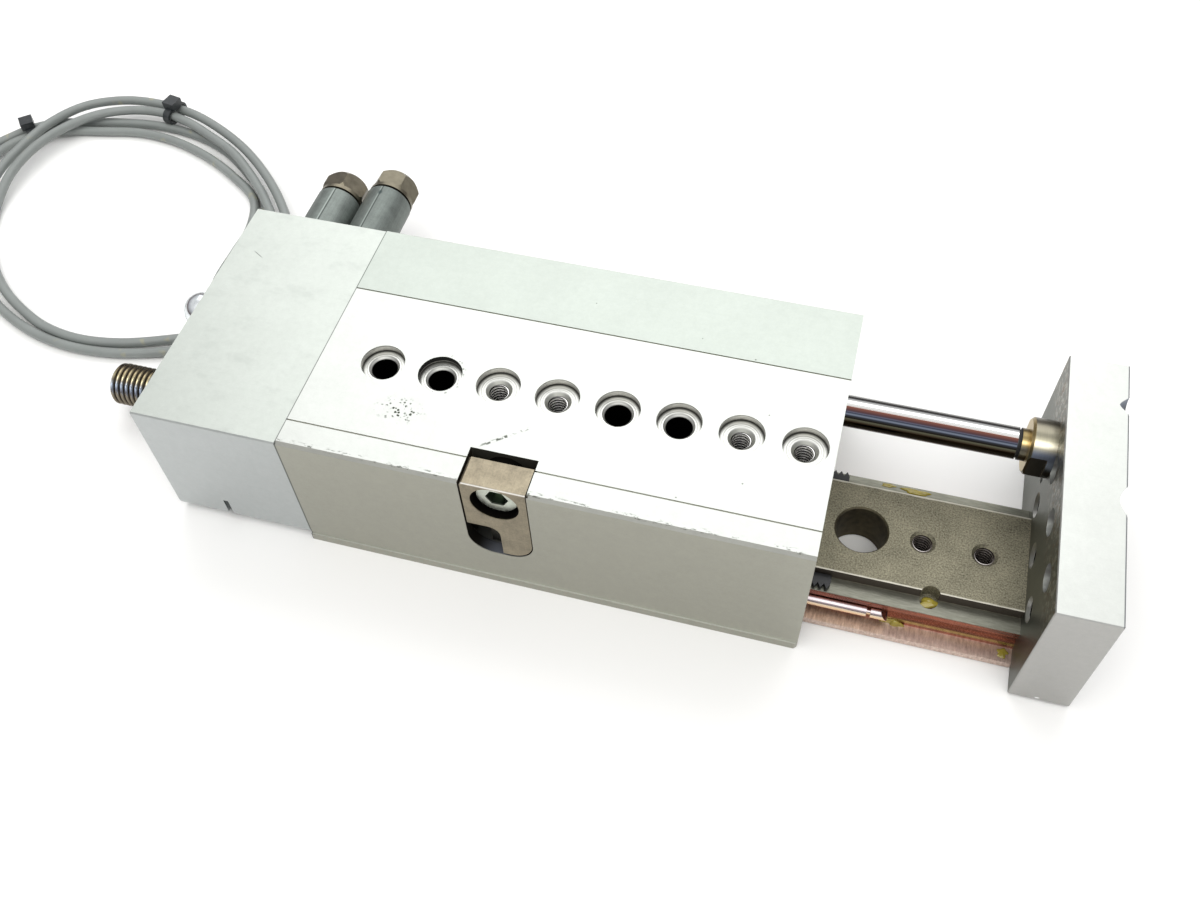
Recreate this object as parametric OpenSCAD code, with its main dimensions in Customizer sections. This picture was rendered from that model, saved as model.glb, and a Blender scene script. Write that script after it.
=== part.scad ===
// Pneumatic slide table: an aluminium cylinder body with a crossed-roller guide underneath.
// The slide, front plate, piston rod and piston run out together over one stroke.
// Frame: X is the stroke, +X outward; Z is up; the origin lies on the base face,
// under the joint between the body and the rear block, midway across the body.

/* [Stroke] */
// Stroke of the slide
stroke = 50; // [30:1:60]
// Gap left between the front plate and the body when the slide is home
home_gap = 0.3; // [0.3:0.1:1]

/* [Body] */
// Length of the cylinder body
body_len = 128.5; // [122:0.5:150]
// Width of the cylinder body above its bottom lip
body_w = 73.8; // [73:0.2:84]
// Height of the cylinder body
body_h = 42.5; // [41.5:0.5:50]
// Chamfer along the two top edges of the body
body_edge = 0.8; // [0.2:0.1:1.5]
// Height of the lip along the foot of the body
lip_h = 2.5; // [1.5:0.1:2.6]
// How far the lip stands out from the body
lip_out = 0.4; // [0.2:0.1:0.8]
// Width and depth of the two fine grooves along the top
groove_w = 0.4; // [0.3:0.1:0.8]
// Distance from the slide's centreline to each groove
groove_offset = 22.1; // [18:0.1:24]
// Sideways offset of the slide's centreline and of the hole row
guide_y = -7.5; // [-8:0.1:-6.5]

/* [Rear block] */
// Length of the rear block
rear_len = 38.2; // [36:0.2:50]
// How much lower and narrower the rear block is than the body
rear_step = 0.35; // [0.1:0.05:0.8]
// Radius along the lower edge of the rear block
rear_round = 4.4; // [2:0.2:5]
// Diameter of the blind locating hole in that edge
locating_d = 5; // [3:0.1:6]

/* [Mounting holes] */
// Number of mounting holes along the top
hole_count = 8; // [8:1:8]
// Spacing of the mounting holes
hole_pitch = 15; // [14:0.5:15.5]
// Distance of the first hole from the rear end of the body
hole_x = 16.2; // [12:0.1:18]
// Diameter of the centring counterbore
centring_d = 11; // [9:0.1:12]
// Depth of the centring counterbore
centring_depth = 2; // [1:0.1:3]
// Diameter of the plain through holes
through_d = 6.5; // [5:0.1:7]
// Core diameter of the M6 tapped holes
tap_d = 5; // [4:0.1:5.2]
// Depth of the tapped holes below the top
tap_depth = 16; // [12:0.5:20]

/* [Guide rails] */
// Width of the raised middle of the slide
slide_top_w = 27; // [25:0.2:28]
// Width of the slide across its two vee faces
slide_w = 35.8; // [35:0.2:36.4]
// Width of the flange under the slide
flange_w = 44; // [42:0.2:45]
// Height of the slide's underside above the base face
slide_z0 = 0.3; // [0.2:0.1:0.5]
// Height of the top of the flange
flange_z = 2.3; // [1.8:0.1:2.3]
// Height of the ledges
ledge_z = 9.9; // [9.2:0.1:10]
// Height of the top of the slide
slide_z = 13; // [12.5:0.1:13]
// Gap between a slide vee face and the fixed rail
rail_gap = 1.2; // [1:0.1:1.4]
// Width of one fixed rail
rail_w = 6.9; // [6.8:0.1:7.2]
// Height of the underside of the fixed rails
rail_z0 = 2.6; // [2.6:0.1:2.8]
// Height of the top of the fixed rails
rail_z1 = 10.5; // [10.2:0.1:10.8]
// Height of the vee grooves' centre
vee_z = 6.1; // [5.9:0.1:6.4]
// Diameter of the rollers
roller_d = 3; // [2.6:0.1:3]
// Radial running clearance of the rollers in the vees
roller_fit = 0.05; // [0.03:0.01:0.1]
// Number of rollers on each side
roller_count = 12; // [8:1:12]
// Spacing of the rollers
roller_pitch = 5; // [4.6:0.1:5.2]
// Thickness of the cage strip
cage_t = 0.7; // [0.5:0.1:0.7]
// Height of the cage strip
cage_h = 5.8; // [5.2:0.1:6]
// Diameter of the round nose of each cage
nose_d = 2.8; // [2.4:0.1:2.9]
// How far each cage nose stands out of the body with the slide out
nose_out = 19.8; // [16:0.1:24]
// Clearance above the slide and beside its raised middle
slide_clear = 0.4; // [0.3:0.1:0.5]

/* [Cage combs] */
// Thickness of the toothed strips that ride on the cages over the ledges
comb_t = 1; // [0.8:0.1:1.2]
// How far the combs stand out of the body with the slide out
comb_out = 4.9; // [4.9:0.1:7]
// Spacing of the comb teeth
tooth_pitch = 1.5; // [1.2:0.1:1.6]
// Height of the comb teeth
tooth_h = 1.3; // [0.8:0.1:1.4]

/* [Slide holes] */
// Diameter of the tool access hole
access_d = 12.8; // [10:0.1:14]
// Spacing of the access hole and the two tapped holes
slide_pitch = 15; // [13:0.5:15]
// Distance from the front plate to the nearest tapped hole
slide_hole_x = 10.3; // [9:0.1:12]

/* [Front plate] */
// Thickness of the front plate
plate_t = 14.2; // [11:0.2:18]
// Width of the front plate
plate_w = 73; // [70:0.5:80]
// Height of the front plate's lower edge
plate_z0 = 0.8; // [0.4:0.1:2]
// Height of the front plate's top
plate_z1 = 41; // [39:0.5:46]
// Spacing of the hole grid in the plate
plate_pitch = 15; // [13:0.5:16]
// Height of the lower, tapped row
plate_row_z = 17.1; // [16:0.1:18]
// Chamfer along the edges of the plate
plate_edge = 0.25; // [0.1:0.05:0.5]
// Diameter of the upper, plain row
plate_hole_d = 6.8; // [5:0.1:7]

/* [Cylinder] */
// Diameter of the cylinder bore
bore_d = 20; // [16:0.5:20]
// Sideways place of the cylinder axis
rod_y = 16; // [15.6:0.1:17]
// Height of the cylinder axis
rod_z = 28.9; // [28.4:0.1:30]
// Diameter of the piston rod
rod_d = 8; // [6:0.1:8.5]
// Length of the piston
piston_l = 12; // [10:0.5:14]
// Diameter of the collar at the rod's outer end
collar_d = 14.3; // [12:0.1:15]
// Length of that collar
collar_l = 6; // [4:0.1:6.4]
// Width across the collar's wrench flats
collar_af = 12.5; // [11:0.1:13]
// Length of the bearing cap in the front of the bore
cap_l = 12; // [9:0.5:14]
// Radial running clearance of rod and piston
run_fit = 0.05; // [0.03:0.01:0.1]

/* [Stop block] */
// Rear edge of the pocket, from the rear end of the body
pocket_x = 45.7; // [44:0.1:47]
// Length of the pocket
pocket_l = 16.65; // [16:0.05:17.5]
// Depth of the pocket from the side face
pocket_d = 10.3; // [9.5:0.1:11]
// Height of the pocket's floor
pocket_z = 13.8; // [13.8:0.1:15]
// Corner radius of the pocket's floor
pocket_r = 6.5; // [5:0.1:7]
// Thickness of the stop block
stop_t = 7.7; // [7:0.1:8.5]
// Length of the stop block along the slide
stop_l = 15.9; // [15:0.1:16.2]
// Height of the stop block's main part
stop_main_h = 16.9; // [15:0.1:18]
// Gap between the foot of the leg and the pocket's floor
stop_foot_gap = 0.7; // [0.4:0.1:1.5]
// Width of the leg
leg_w = 7.75; // [6.5:0.05:8.5]
// Width of the broken edge along the front of its top
stop_edge = 0.5; // [0.3:0.1:0.8]
// Diameter of the counterbore for the clamp screw
stop_cbore_d = 12; // [11:0.1:12.4]
// Thickness of the stop plate on the slide
stop_plate_t = 3.7; // [3:0.1:3.7]

/* [Shock absorber] */
// Thread diameter of the shock absorber
shock_d = 11.8; // [10:0.1:12]
// How far the shock absorber stands out behind the rear block
shock_out = 32; // [25:0.1:45]
// Height of the shock absorber's axis
shock_z = 8.9; // [8:0.1:9]
// Diameter of its plunger
plunger_d = 4; // [3:0.1:5]
// Travel of its plunger
plunger_stroke = 8; // [5:0.5:10]

/* [Port fittings] */
// Diameter of the fitting bodies
fitting_d = 13.8; // [11:0.1:13.8]
// Distance of the first fitting behind the body
fitting_x = 15.5; // [14:0.1:16]
// Spacing of the two fittings
fitting_pitch = 14.3; // [14.1:0.1:16]
// Height of the fittings' axes
fitting_z = 21.25; // [20.5:0.05:23]
// Length of the front fitting's body from the rear block to its seal
fitting_l = 31; // [24:0.1:40]
// How much shorter the rear fitting stands
fitting_drop = 4.2; // [0:0.1:6]
// Length of the hexagonal cap
cap_hex_l = 7.3; // [6.6:0.1:13]
// Width across the flats of the cap
cap_af = 12.4; // [10:0.1:13]
// Length of the round collar at the cap's near end
cap_collar_l = 1.2; // [0.6:0.1:2]

/* [Fasteners] */
// Clearance diameter of the M5 screws
m5_clear = 5.3; // [5.2:0.1:5.5]
// Core diameter of the M5 threads
m5_core = 4.2; // [4:0.1:4.3]
// Head diameter of the M5 cap screws
m5_head_d = 8.5; // [8:0.1:8.7]
// Head height of the M5 cap screws
m5_head_h = 5; // [4:0.1:5]
// How far the rear block's screws reach into the body
rear_reach = 13; // [10:0.5:16]
// How far the front plate's screws reach into the slide and the rod
plate_reach = 14; // [10:0.5:16]

/* [Sensors and cables] */
// Diameter of the cylinder sensors
sensor_d = 4.2; // [3.5:0.1:4.2]
// Length of one sensor
sensor_l = 26; // [20:0.5:30]
// Diameter of the sensor cables
cable_d = 3; // [2.6:0.1:3.1]
// Height of the cable outlets
outlet_z = 14.5; // [14.5:0.1:14.8]
// Sideways places of the two cable outlets
outlet_y = [18, 24.5];
// Radius of the middle turn of each spare coil
coil_r = 16.5; // [14:0.1:18]
// Width and height of a coil's bundle
coil_w = 12.6; // [10:0.1:13]

/* [Hidden] */

eps = 0.01;
seat = 0.05;                       // radial play of a part in the bore that holds it
$fn = 64;

half_w = body_w / 2;
plate_x = body_len + home_gap + stroke;            // inner face of the front plate, slide out
stop_x = pocket_x + 0.5;                           // rear edge of the stop block
leg_x = stop_x + stop_l - leg_w;                   // face that the stop plate meets
slide_x0 = leg_x - home_gap;                       // rear end of the slide rail, slide out
stop_plate_x = slide_x0 - stop_plate_t;
channel_z = slide_z + slide_clear;
channel_half = slide_top_w / 2 + slide_clear;
rail_half = slide_w / 2 + rail_gap;                // inner face of a fixed rail
rail_out = rail_half + rail_w;                     // outer face of a fixed rail
roller_y = slide_w / 2 + rail_gap / 2;             // centre plane of the rollers
vee = (roller_d / 2 + roller_fit) * sqrt(2) - rail_gap / 2;
relief = 0.25;
roller_l = roller_d - 0.1;
function roller_x(i) = cage_x0 + 3 + (i + 0.5) * roller_pitch;
cage_x1 = body_len + nose_out;                     // front end of the cage noses, slide out
cage_x0 = slide_x0 + 0.5;
strip_x1 = cage_x0 + 3 + roller_count * roller_pitch;
comb_gap = 0.3;                                    // clearance round the combs
comb_x0 = body_len - 22;
comb_x1 = body_len + comb_out;
comb_y0 = slide_top_w / 2 + comb_gap;              // measured from the slide's centreline
comb_y1 = slide_w / 2 - 0.2;
comb_z = ledge_z + comb_gap;
rear_half = half_w - rear_step;
rear_z = body_h - rear_step;
cap_x1 = body_len - collar_l - 0.9;                // front face of the bearing cap
piston_x0 = stroke + 1.5;                          // rear face of the piston, slide out
run_z0 = pocket_z - 0.5;                           // floor of the slot the stop plate runs in
arm_z = [run_z0 + 0.7, run_z0 + 8.2];
arm_y = -half_w + 3.5;
neck_y = guide_y - 5.7;
stop_h = body_h - pocket_z - stop_foot_gap;        // height of the whole stop block with its leg
stop_screw = [stop_x + stop_l / 2, body_h - 6.4];
port_y = rear_half;
seal_y = [for (i = [0:1]) port_y + fitting_l - i * fitting_drop];
seal_t = 0.4;
cap_gap = 0.6;                     // from a fitting's end to its cap
cap_collar_d = cap_af + 1.1;
cap_turn = [4, -18];
cap_pin_l = 5;
outlet_x = -rear_len - 1.8;
rear_screw_at = [[half_w - 5.4, body_h - 6], [-half_w + 5.4, body_h - 6],
    [half_w - 5.4, 6.5], [-half_w + 8.9, 26.3]];
rail_screw_ends = [9, 7.5];                       // from the rear and front ends of the body
rail_screw_count = 5;
rail_screw_x = [for (i = [0:rail_screw_count - 1]) rail_screw_ends[0]
    + i * (body_len - rail_screw_ends[0] - rail_screw_ends[1]) / (rail_screw_count - 1)];
rail_screw_y = rail_out - 2.8;
locating_at = [-23, -half_w + 2.4];
plug_at = [3, rear_z - 6.7];
plate_screw_at = [for (s = [-1, 1]) [guide_y + s * 12, vee_z]];
stop_plate_screw_at = [for (s = [-1, 1]) [guide_y + s * 8.5, vee_z + 0.9]];
stop_head_y = 1.85;
dowel_d = 2.6;                     // blind hole in the plate's inner face
dowel_depth = 6;
centrings = [[23.7, 0.6, 2.8], [-4, 3.8, 5.6]];    // y, depth below the top and radius of each cone
port_thread_d = 9.7;
cap_pin_d = 8;
sensor_x1 = [40, 90];
roller_h = (roller_d + roller_l) * sqrt(2) / 2;
piston_groove_r = bore_d / 2 - 2.4;
piston_grooves = [[piston_x0 + 1, 2.4], [piston_x0 + 4.4, 3.2], [piston_x0 + 8.6, 2.4]];
tapped = [2, 3, 6, 7];

cable_a_route = [[-40, 18, 14.5], [-46, 18, 13.5], [-54, 16.5, 8], [-62, 13, 3], [-70, 10.5, 1.6],
    [-83, 7, 1.6], [-96, 6, 1.6], [-108, 7.5, 1.6], [-120, 11.5, 1.6], [-132, 18, 1.6],
    [-143, 27, 1.6], [-152, 39, 1.6], [-157.5, 53, 2.4], [-158.5, 67, 5], [-157, 80, 5.8],
    [-154, 93, 5.8], [-147, 104.5, 5.4], [-135, 111, 5], [-121, 112, 5], [-107.5, 109.6, 5],
    [-95, 104.4, 5], [-83, 97.4, 5], [-72.3, 89, 5], [-62.4, 79.2, 5], [-54.3, 69.2, 4.5],
    [-47.2, 59.6, 3], [-42.8, 50.5, 1.9], [-42, 42, 1.6], [-44.3, 34.9, 1.6], [-50.3, 30.5, 1.6],
    [-57.8, 30.5, 1.6], [-63.9, 34.9, 1.6], [-66.2, 42, 1.6], [-66.2, 54, 1.6], [-66.4, 66, 1.6],
    [-71.2, 78.2, 1.6], [-83, 87, 1.6], [-96, 93.9, 1.6], [-110, 98.5, 1.6], [-124, 99.9, 1.6],
    [-137, 97.6, 1.6], [-146.8, 95.3, 1.9], [-153.8, 92.2, 2.5], [-159.6, 88.4, 2.8],
    [-164.3, 83.3, 2.7], [-167.8, 76.5, 2.2], [-170.4, 67, 1.7], [-171.8, 55.5, 1.6],
    [-172, 43, 1.6]];
cable_b_route = [[-40, 24.5, 14.5], [-46, 24, 13], [-54, 22, 7], [-62, 18.5, 2.6], [-70, 15.5, 1.6],
    [-83, 11, 1.6], [-96, 9.4, 1.6], [-108, 11, 1.6], [-118, 15, 1.6], [-129, 21.5, 1.6],
    [-139, 30.5, 1.6], [-147.5, 42, 1.6], [-152.5, 54, 2.4], [-154, 67, 5], [-152.5, 80, 5.8],
    [-148, 91.5, 5.8], [-140.5, 101, 5.4], [-130.5, 106.5, 5], [-119, 107.8, 5], [-107.5, 105.2, 5],
    [-96, 100, 5], [-85.5, 94.4, 5], [-75.4, 86.2, 5], [-65.6, 76.4, 5], [-57.6, 66.6, 4.4],
    [-50.6, 57.2, 2.9], [-46.1, 49.5, 1.9], [-45.3, 42, 1.6], [-47, 36.8, 1.6], [-51.4, 33.6, 1.6],
    [-56.8, 33.6, 1.6], [-61.2, 36.8, 1.6], [-62.9, 42, 1.6], [-62.8, 49, 1.6], [-62.8, 58, 1.6],
    [-62.9, 68, 1.6], [-67.6, 79.2, 1.6], [-78.6, 89.4, 1.6], [-91, 98, 1.6], [-105, 103.2, 1.6],
    [-120, 104.8, 1.6], [-135, 103, 1.6], [-147.5, 99.8, 1.8], [-155.6, 96.5, 2.5],
    [-162.1, 91.5, 2.8], [-167.3, 85.5, 2.6], [-173, 79, 2.1], [-181, 74.2, 1.6], [-192, 71.2, 1.6],
    [-205, 71, 1.6]];
coil_a_at = [-193, 43];
coil_b_at = [-205, 92];
tie_1_at = [-114.6, 109, 5];
tie_1_turn = -11;
tie_2_at = [-160.85, 89.95, 2.8];
tie_2_turn = 41;

// Extrudes an outline drawn in (y, z) from x0 to x1
module along_x(x0, x1) translate([x0, 0, 0]) rotate([90, 0, 90]) linear_extrude(x1 - x0) children();

// Extrudes an outline drawn in (x, z) from y0 to y1
module along_y(y0, y1) translate([0, y1, 0]) rotate([90, 0, 0]) linear_extrude(y1 - y0) children();

module rod_x(d, x0, x1, y, z) translate([x0, y, z]) rotate([0, 90, 0]) cylinder(d = d, h = x1 - x0);
module rod_along_y(d, y0, y1, x, z) translate([x, y0, z]) rotate([-90, 0, 0]) cylinder(d = d, h = y1 - y0);
module rod_z(d, z0, z1, x, y) translate([x, y, z0]) cylinder(d = d, h = z1 - z0);

// A solid turned about an axis along X; the outline is drawn as (radius, x)
module turned_x(y, z) translate([0, y, z]) rotate([0, 90, 0]) rotate_extrude() children();

// A solid turned about an axis along Y; the outline is drawn as (radius, y)
module turned_y(x, z) translate([x, 0, z]) rotate([-90, 0, 0]) rotate_extrude() children();

// Cap screw along X with its head toward -X, tip at x1
module cap_screw_x(d, x_head, x1, y, z, head_d, head_h, hex) difference() {
    union() {
        rod_x(head_d, x_head, x_head + head_h, y, z);
        rod_x(d, x_head + head_h - eps, x1, y, z);
    }
    translate([x_head - eps, y, z]) rotate([0, 90, 0]) cylinder(d = hex / cos(30), h = head_h * 0.55, $fn = 6);
}

module body_outline() polygon([[-half_w - lip_out, 0], [half_w + lip_out, 0],
    [half_w + lip_out, lip_h], [half_w, lip_h], [half_w, body_h - body_edge],
    [half_w - body_edge, body_h], [-half_w + body_edge, body_h], [-half_w, body_h - body_edge],
    [-half_w, lip_h], [-half_w - lip_out, lip_h]]);

// Room under the body for the slide and the two fixed rails
module channel_outline() translate([guide_y, 0]) polygon([[-rail_out, -1], [rail_out, -1],
    [rail_out, rail_z1], [channel_half, rail_z1], [channel_half, channel_z],
    [-channel_half, channel_z], [-channel_half, rail_z1], [-rail_out, rail_z1]]);

// Vee groove with a relief slot in the face y = w, cut toward side s, as points going up
function vee_points(w, s) = [[w, vee_z - vee], [w + s * (vee - relief), vee_z - relief],
    [w + s * (vee + relief), vee_z - relief], [w + s * (vee + relief), vee_z + relief],
    [w + s * (vee - relief), vee_z + relief], [w, vee_z + vee]];
function flip(points) = [for (i = [len(points) - 1:-1:0]) [-points[i][0], points[i][1]]];

module slide_outline() {
    right = concat([[flange_w / 2, slide_z0], [flange_w / 2, flange_z], [slide_w / 2, flange_z]],
        vee_points(slide_w / 2, -1),
        [[slide_w / 2, ledge_z], [slide_top_w / 2, ledge_z], [slide_top_w / 2, slide_z]]);
    translate([guide_y, 0]) polygon(concat(right, flip(right)));
}

module rail_outline() polygon(concat([[rail_out, rail_z0], [rail_out, rail_z1], [rail_half, rail_z1]],
    [for (i = [5:-1:0]) vee_points(rail_half, 1)[i]], [[rail_half, rail_z0]]));

module pocket_outline(inset = 0) {
    x0 = pocket_x + inset;
    x1 = pocket_x + pocket_l - inset;
    z0 = pocket_z + inset;
    translate([x0, z0 + pocket_r]) square([x1 - x0, body_h + 1 - z0 - pocket_r]);
    translate([x0 + pocket_r, z0]) square([x1 - x0 - 2 * pocket_r, pocket_r + 1]);
    for (x = [x0 + pocket_r, x1 - pocket_r]) translate([x, z0 + pocket_r]) circle(pocket_r);
}

function tapped_hole(i) = len(search(i, tapped)) > 0;

module mounting_hole(i) translate([hole_x + i * hole_pitch, guide_y, 0]) {
    top = body_h - centring_depth;
    rod_z(centring_d, top, body_h + 1, 0, 0);
    if (tapped_hole(i)) {
        rod_z(tap_d, body_h - tap_depth, body_h, 0, 0);
        translate([0, 0, top - 0.8]) cylinder(d1 = tap_d, d2 = tap_d + 1.62, h = 0.81);
    } else {
        rod_z(through_d, channel_z - 1, body_h, 0, 0);
        translate([0, 0, top - 0.6]) cylinder(d1 = through_d, d2 = through_d + 1.22, h = 0.61);
    }
}

// Outline from above of the strip with its teeth and the foot that reaches out over the cage
module comb_outline() {
    base = comb_y1 - tooth_h;
    polygon(concat([[comb_x0, comb_y0], [comb_x1, comb_y0], [comb_x1, base]],
        [for (i = [0:2], p = [[0, 0], [0.5, 1], [1, 0]])
            [comb_x1 - (i + p[0]) * tooth_pitch + (i > 0 && p[0] == 0 ? -0.02 : 0), base + p[1] * tooth_h]],
        [[body_len - 0.1, base], [body_len - 0.1, comb_y1], [strip_x1, comb_y1],
            [strip_x1, roller_y + cage_t / 2], [comb_x0, roller_y + cage_t / 2]]));
}

module mirror_guide() translate([0, guide_y, 0]) mirror([0, 1, 0]) translate([0, -guide_y, 0]) children();

module housing() color([0.84, 0.86, 0.85]) difference() {
    along_x(0, body_len) body_outline();
    along_x(-1, body_len + 1) channel_outline();
    comb_slot();
    mirror_guide() comb_slot();
    rod_x(bore_d, -1, body_len + 1, rod_y, rod_z);
    turned_x(rod_y, rod_z) translate([0, cap_x1 - seat]) square([bore_d / 2 + 0.75, 1.1]);
    for (i = [0:hole_count - 1]) mounting_hole(i);
    along_y(-half_w - 1, -half_w + pocket_d) pocket_outline();
    // slot for the arm of the stop plate, back from the pocket to the rear end
    along_x(-1, pocket_x + pocket_l) translate([arm_y - 0.5, run_z0])
        square([neck_y + 0.5 - arm_y + 0.5, arm_z[1] + 0.5 - run_z0]);
    along_x(-1, pocket_x + pocket_l) translate([guide_y - channel_half, rail_z1])
        square([neck_y + 0.5 - guide_y + channel_half, run_z0 - rail_z1 + 0.1]);
    rod_along_y(tap_d, -half_w + pocket_d - 1, -half_w + pocket_d + 10, stop_screw[0], stop_screw[1]);
    for (i = [0:1]) rod_x(sensor_d + 0.2, -1, sensor_x1[i] + 0.5, outlet_y[i], outlet_z);
    for (p = rear_screw_at) rod_x(m5_core, -1, rear_reach + 2, p[0], p[1]);
    for (x = rail_screw_x, s = [-1, 1])
        rod_z(2, rail_z1 - 1, run_z0 - 0.5, x, guide_y + s * rail_screw_y);
    for (s = [-1, 1]) translate([-1, guide_y + s * groove_offset - groove_w / 2, body_h - groove_w])
        cube([body_len + 2, groove_w, 1]);
    // bevel on the front corner of the lip
    translate([body_len, -half_w - lip_out, -1]) rotate([0, 0, 45])
        cube([1, 1, 2 * lip_h + 2], center = true);
}

// Room in which a comb travels with its cage, half the stroke back from where it stands
module comb_slot() translate([comb_x0 - stroke / 2 - comb_gap, guide_y + comb_y0 - 1, rail_z1 - 0.1])
    cube([body_len, roller_y + cage_t / 2 + comb_gap - comb_y0 + 1, comb_z + comb_t + comb_gap - rail_z1 + 0.1]);

module rear_block() color([0.86, 0.88, 0.88]) difference() {
    along_x(-rear_len, 0) difference() {
        translate([-half_w, 0]) square([half_w + rear_half, rear_z]);
        translate([-half_w, 0]) difference() {
            translate([-1, -1]) square(rear_round + 1);
            translate([rear_round, rear_round]) circle(rear_round);
        }
        for (p = [[-half_w, rear_z], [rear_half, rear_z]]) translate(p) rotate(45) square(0.5, center = true);
    }
    rod_x(shock_d + 2 * seat, -rear_len - 1, 1, guide_y, shock_z);
    for (p = rear_screw_at) {
        rod_x(m5_clear, -rear_len - 1, 1, p[0], p[1]);
        rod_x(m5_head_d + 0.5, -rear_len - 1, -rear_len + m5_head_h + 0.4, p[0], p[1]);
    }
    for (y = outlet_y) rod_x(sensor_d + 0.2, -rear_len - 1, 1, y, outlet_z);
    for (i = [0:1]) rod_along_y(port_thread_d + 2 * seat, port_y - 9, port_y + 1,
        -fitting_x - i * fitting_pitch, fitting_z);
    rod_z(locating_d, -1, 9, locating_at[0], locating_at[1]);
    rod_x(8 + 2 * seat, -rear_len - 1, -rear_len + 7, plug_at[0], plug_at[1]);
}

module rear_screws() color([0.35, 0.36, 0.38]) for (p = rear_screw_at)
    cap_screw_x(m5_core - 2 * seat, -rear_len + 0.4, rear_reach, p[0], p[1], m5_head_d, m5_head_h, 4);

module fixed_rail() color([0.62, 0.63, 0.64]) difference() {
    along_x(0.3, body_len) translate([guide_y, 0]) rail_outline();
    for (x = rail_screw_x) {
        rod_z(2.7, rail_z0 - 1, rail_z1 + 1, x, guide_y + rail_screw_y);
        rod_z(4.2, rail_z0 - 1, rail_z0 + 1.8, x, guide_y + rail_screw_y);
    }
}

module rail_right() fixed_rail();
module rail_left() mirror_guide() fixed_rail();

module rail_screws() color([0.3, 0.31, 0.33]) for (x = rail_screw_x, s = [-1, 1])
    difference() {
        y = guide_y + s * rail_screw_y;
        union() {
            rod_z(4, rail_z0 + 0.2, rail_z0 + 1.8, x, y);
            rod_z(1.9, rail_z0 + 1.7, run_z0 - 0.7, x, y);
        }
        translate([x, y, rail_z0]) cylinder(d = 1.5 / cos(30), h = 1.1, $fn = 6);
    }

// One cage: a thin strip with a window for each roller, and a round nose with a waisted joint
module cage() color([0.78, 0.74, 0.72]) {
    y = guide_y + roller_y;
    joint_x = cage_x1 - 4.6;
    difference() {
        translate([cage_x0, y - cage_t / 2, vee_z - cage_h / 2]) cube([strip_x1 - cage_x0, cage_t, cage_h]);
        for (i = [0:roller_count - 1])
            translate([roller_x(i), y, vee_z]) cube([roller_d + 0.2, 2, roller_h + 0.4], center = true);
    }
    difference() {
        rod_x(nose_d, strip_x1 - eps, cage_x1, y, vee_z);
        turned_x(y, vee_z) translate([nose_d / 2 - 0.75, joint_x - 0.5]) square([2, 1]);
        // slanting end
        translate([cage_x1, y, vee_z + nose_d / 2]) rotate([0, 50, 0]) cube([2.6, 4, 2.6], center = true);
    }
}

module rollers() color([0.8, 0.8, 0.82]) for (i = [0:roller_count - 1])
    translate([roller_x(i), guide_y + roller_y, vee_z]) rotate([i % 2 == 0 ? 45 : -45, 0, 0])
        cylinder(d = roller_d, h = roller_l, center = true);

module cage_right() cage();
module cage_left() mirror_guide() cage();
module rollers_right() rollers();
module rollers_left() mirror_guide() rollers();

// Toothed strip over the ledge; at its rear a web goes down between slide and rail to the cage
module comb() color([0.09, 0.09, 0.1]) difference() {
    web_z = vee_z + cage_h / 2;
    web_y = roller_y - cage_t / 2;
    translate([0, guide_y, web_z]) linear_extrude(comb_z + comb_t - web_z) comb_outline();
    translate([comb_x0 - 1, guide_y + comb_y0 - 1, web_z - 1])
        cube([comb_x1 - comb_x0 + 2, web_y - comb_y0 + 1, comb_z - web_z + 1]);
}

module comb_right() comb();
module comb_left() mirror_guide() comb();

module slide_rail() color([0.5, 0.49, 0.46]) difference() {
    along_x(slide_x0, plate_x) slide_outline();
    x1 = plate_x - slide_hole_x;
    for (i = [0:1]) {
        rod_z(tap_d, -1, slide_z + 1, x1 - i * slide_pitch, guide_y);
        translate([x1 - i * slide_pitch, guide_y, slide_z - 0.7]) cylinder(d1 = tap_d, d2 = tap_d + 1.6, h = 0.8);
    }
    rod_z(access_d, -1, slide_z + 1, x1 - 2 * slide_pitch, guide_y);
    translate([x1 - 2 * slide_pitch, guide_y, slide_z - 0.4])
        cylinder(d1 = access_d, d2 = access_d + 1, h = 0.5);
    rod_z(4.6, ledge_z - 0.8, slide_z + 1, plate_x - 21.8, guide_y - slide_top_w / 2 - 0.6);
    for (p = plate_screw_at) rod_x(m5_core, plate_x - plate_reach - 2, plate_x + 1, p[0], p[1]);
    for (p = stop_plate_screw_at) rod_x(3.3, slide_x0 - 1, slide_x0 + 11, p[0], p[1]);
}

// Block with all twelve edges broken by a small chamfer
module chamfered_block(size, c) intersection() {
    along_x(0, size[0]) broken_outline([size[1], size[2]], c);
    along_y(0, size[1]) broken_outline([size[0], size[2]], c);
    linear_extrude(size[2]) broken_outline([size[0], size[1]], c);
}

module broken_outline(size, c) polygon([[c, 0], [size[0] - c, 0], [size[0], c], [size[0], size[1] - c],
    [size[0] - c, size[1]], [c, size[1]], [0, size[1] - c], [0, c]]);

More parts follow.
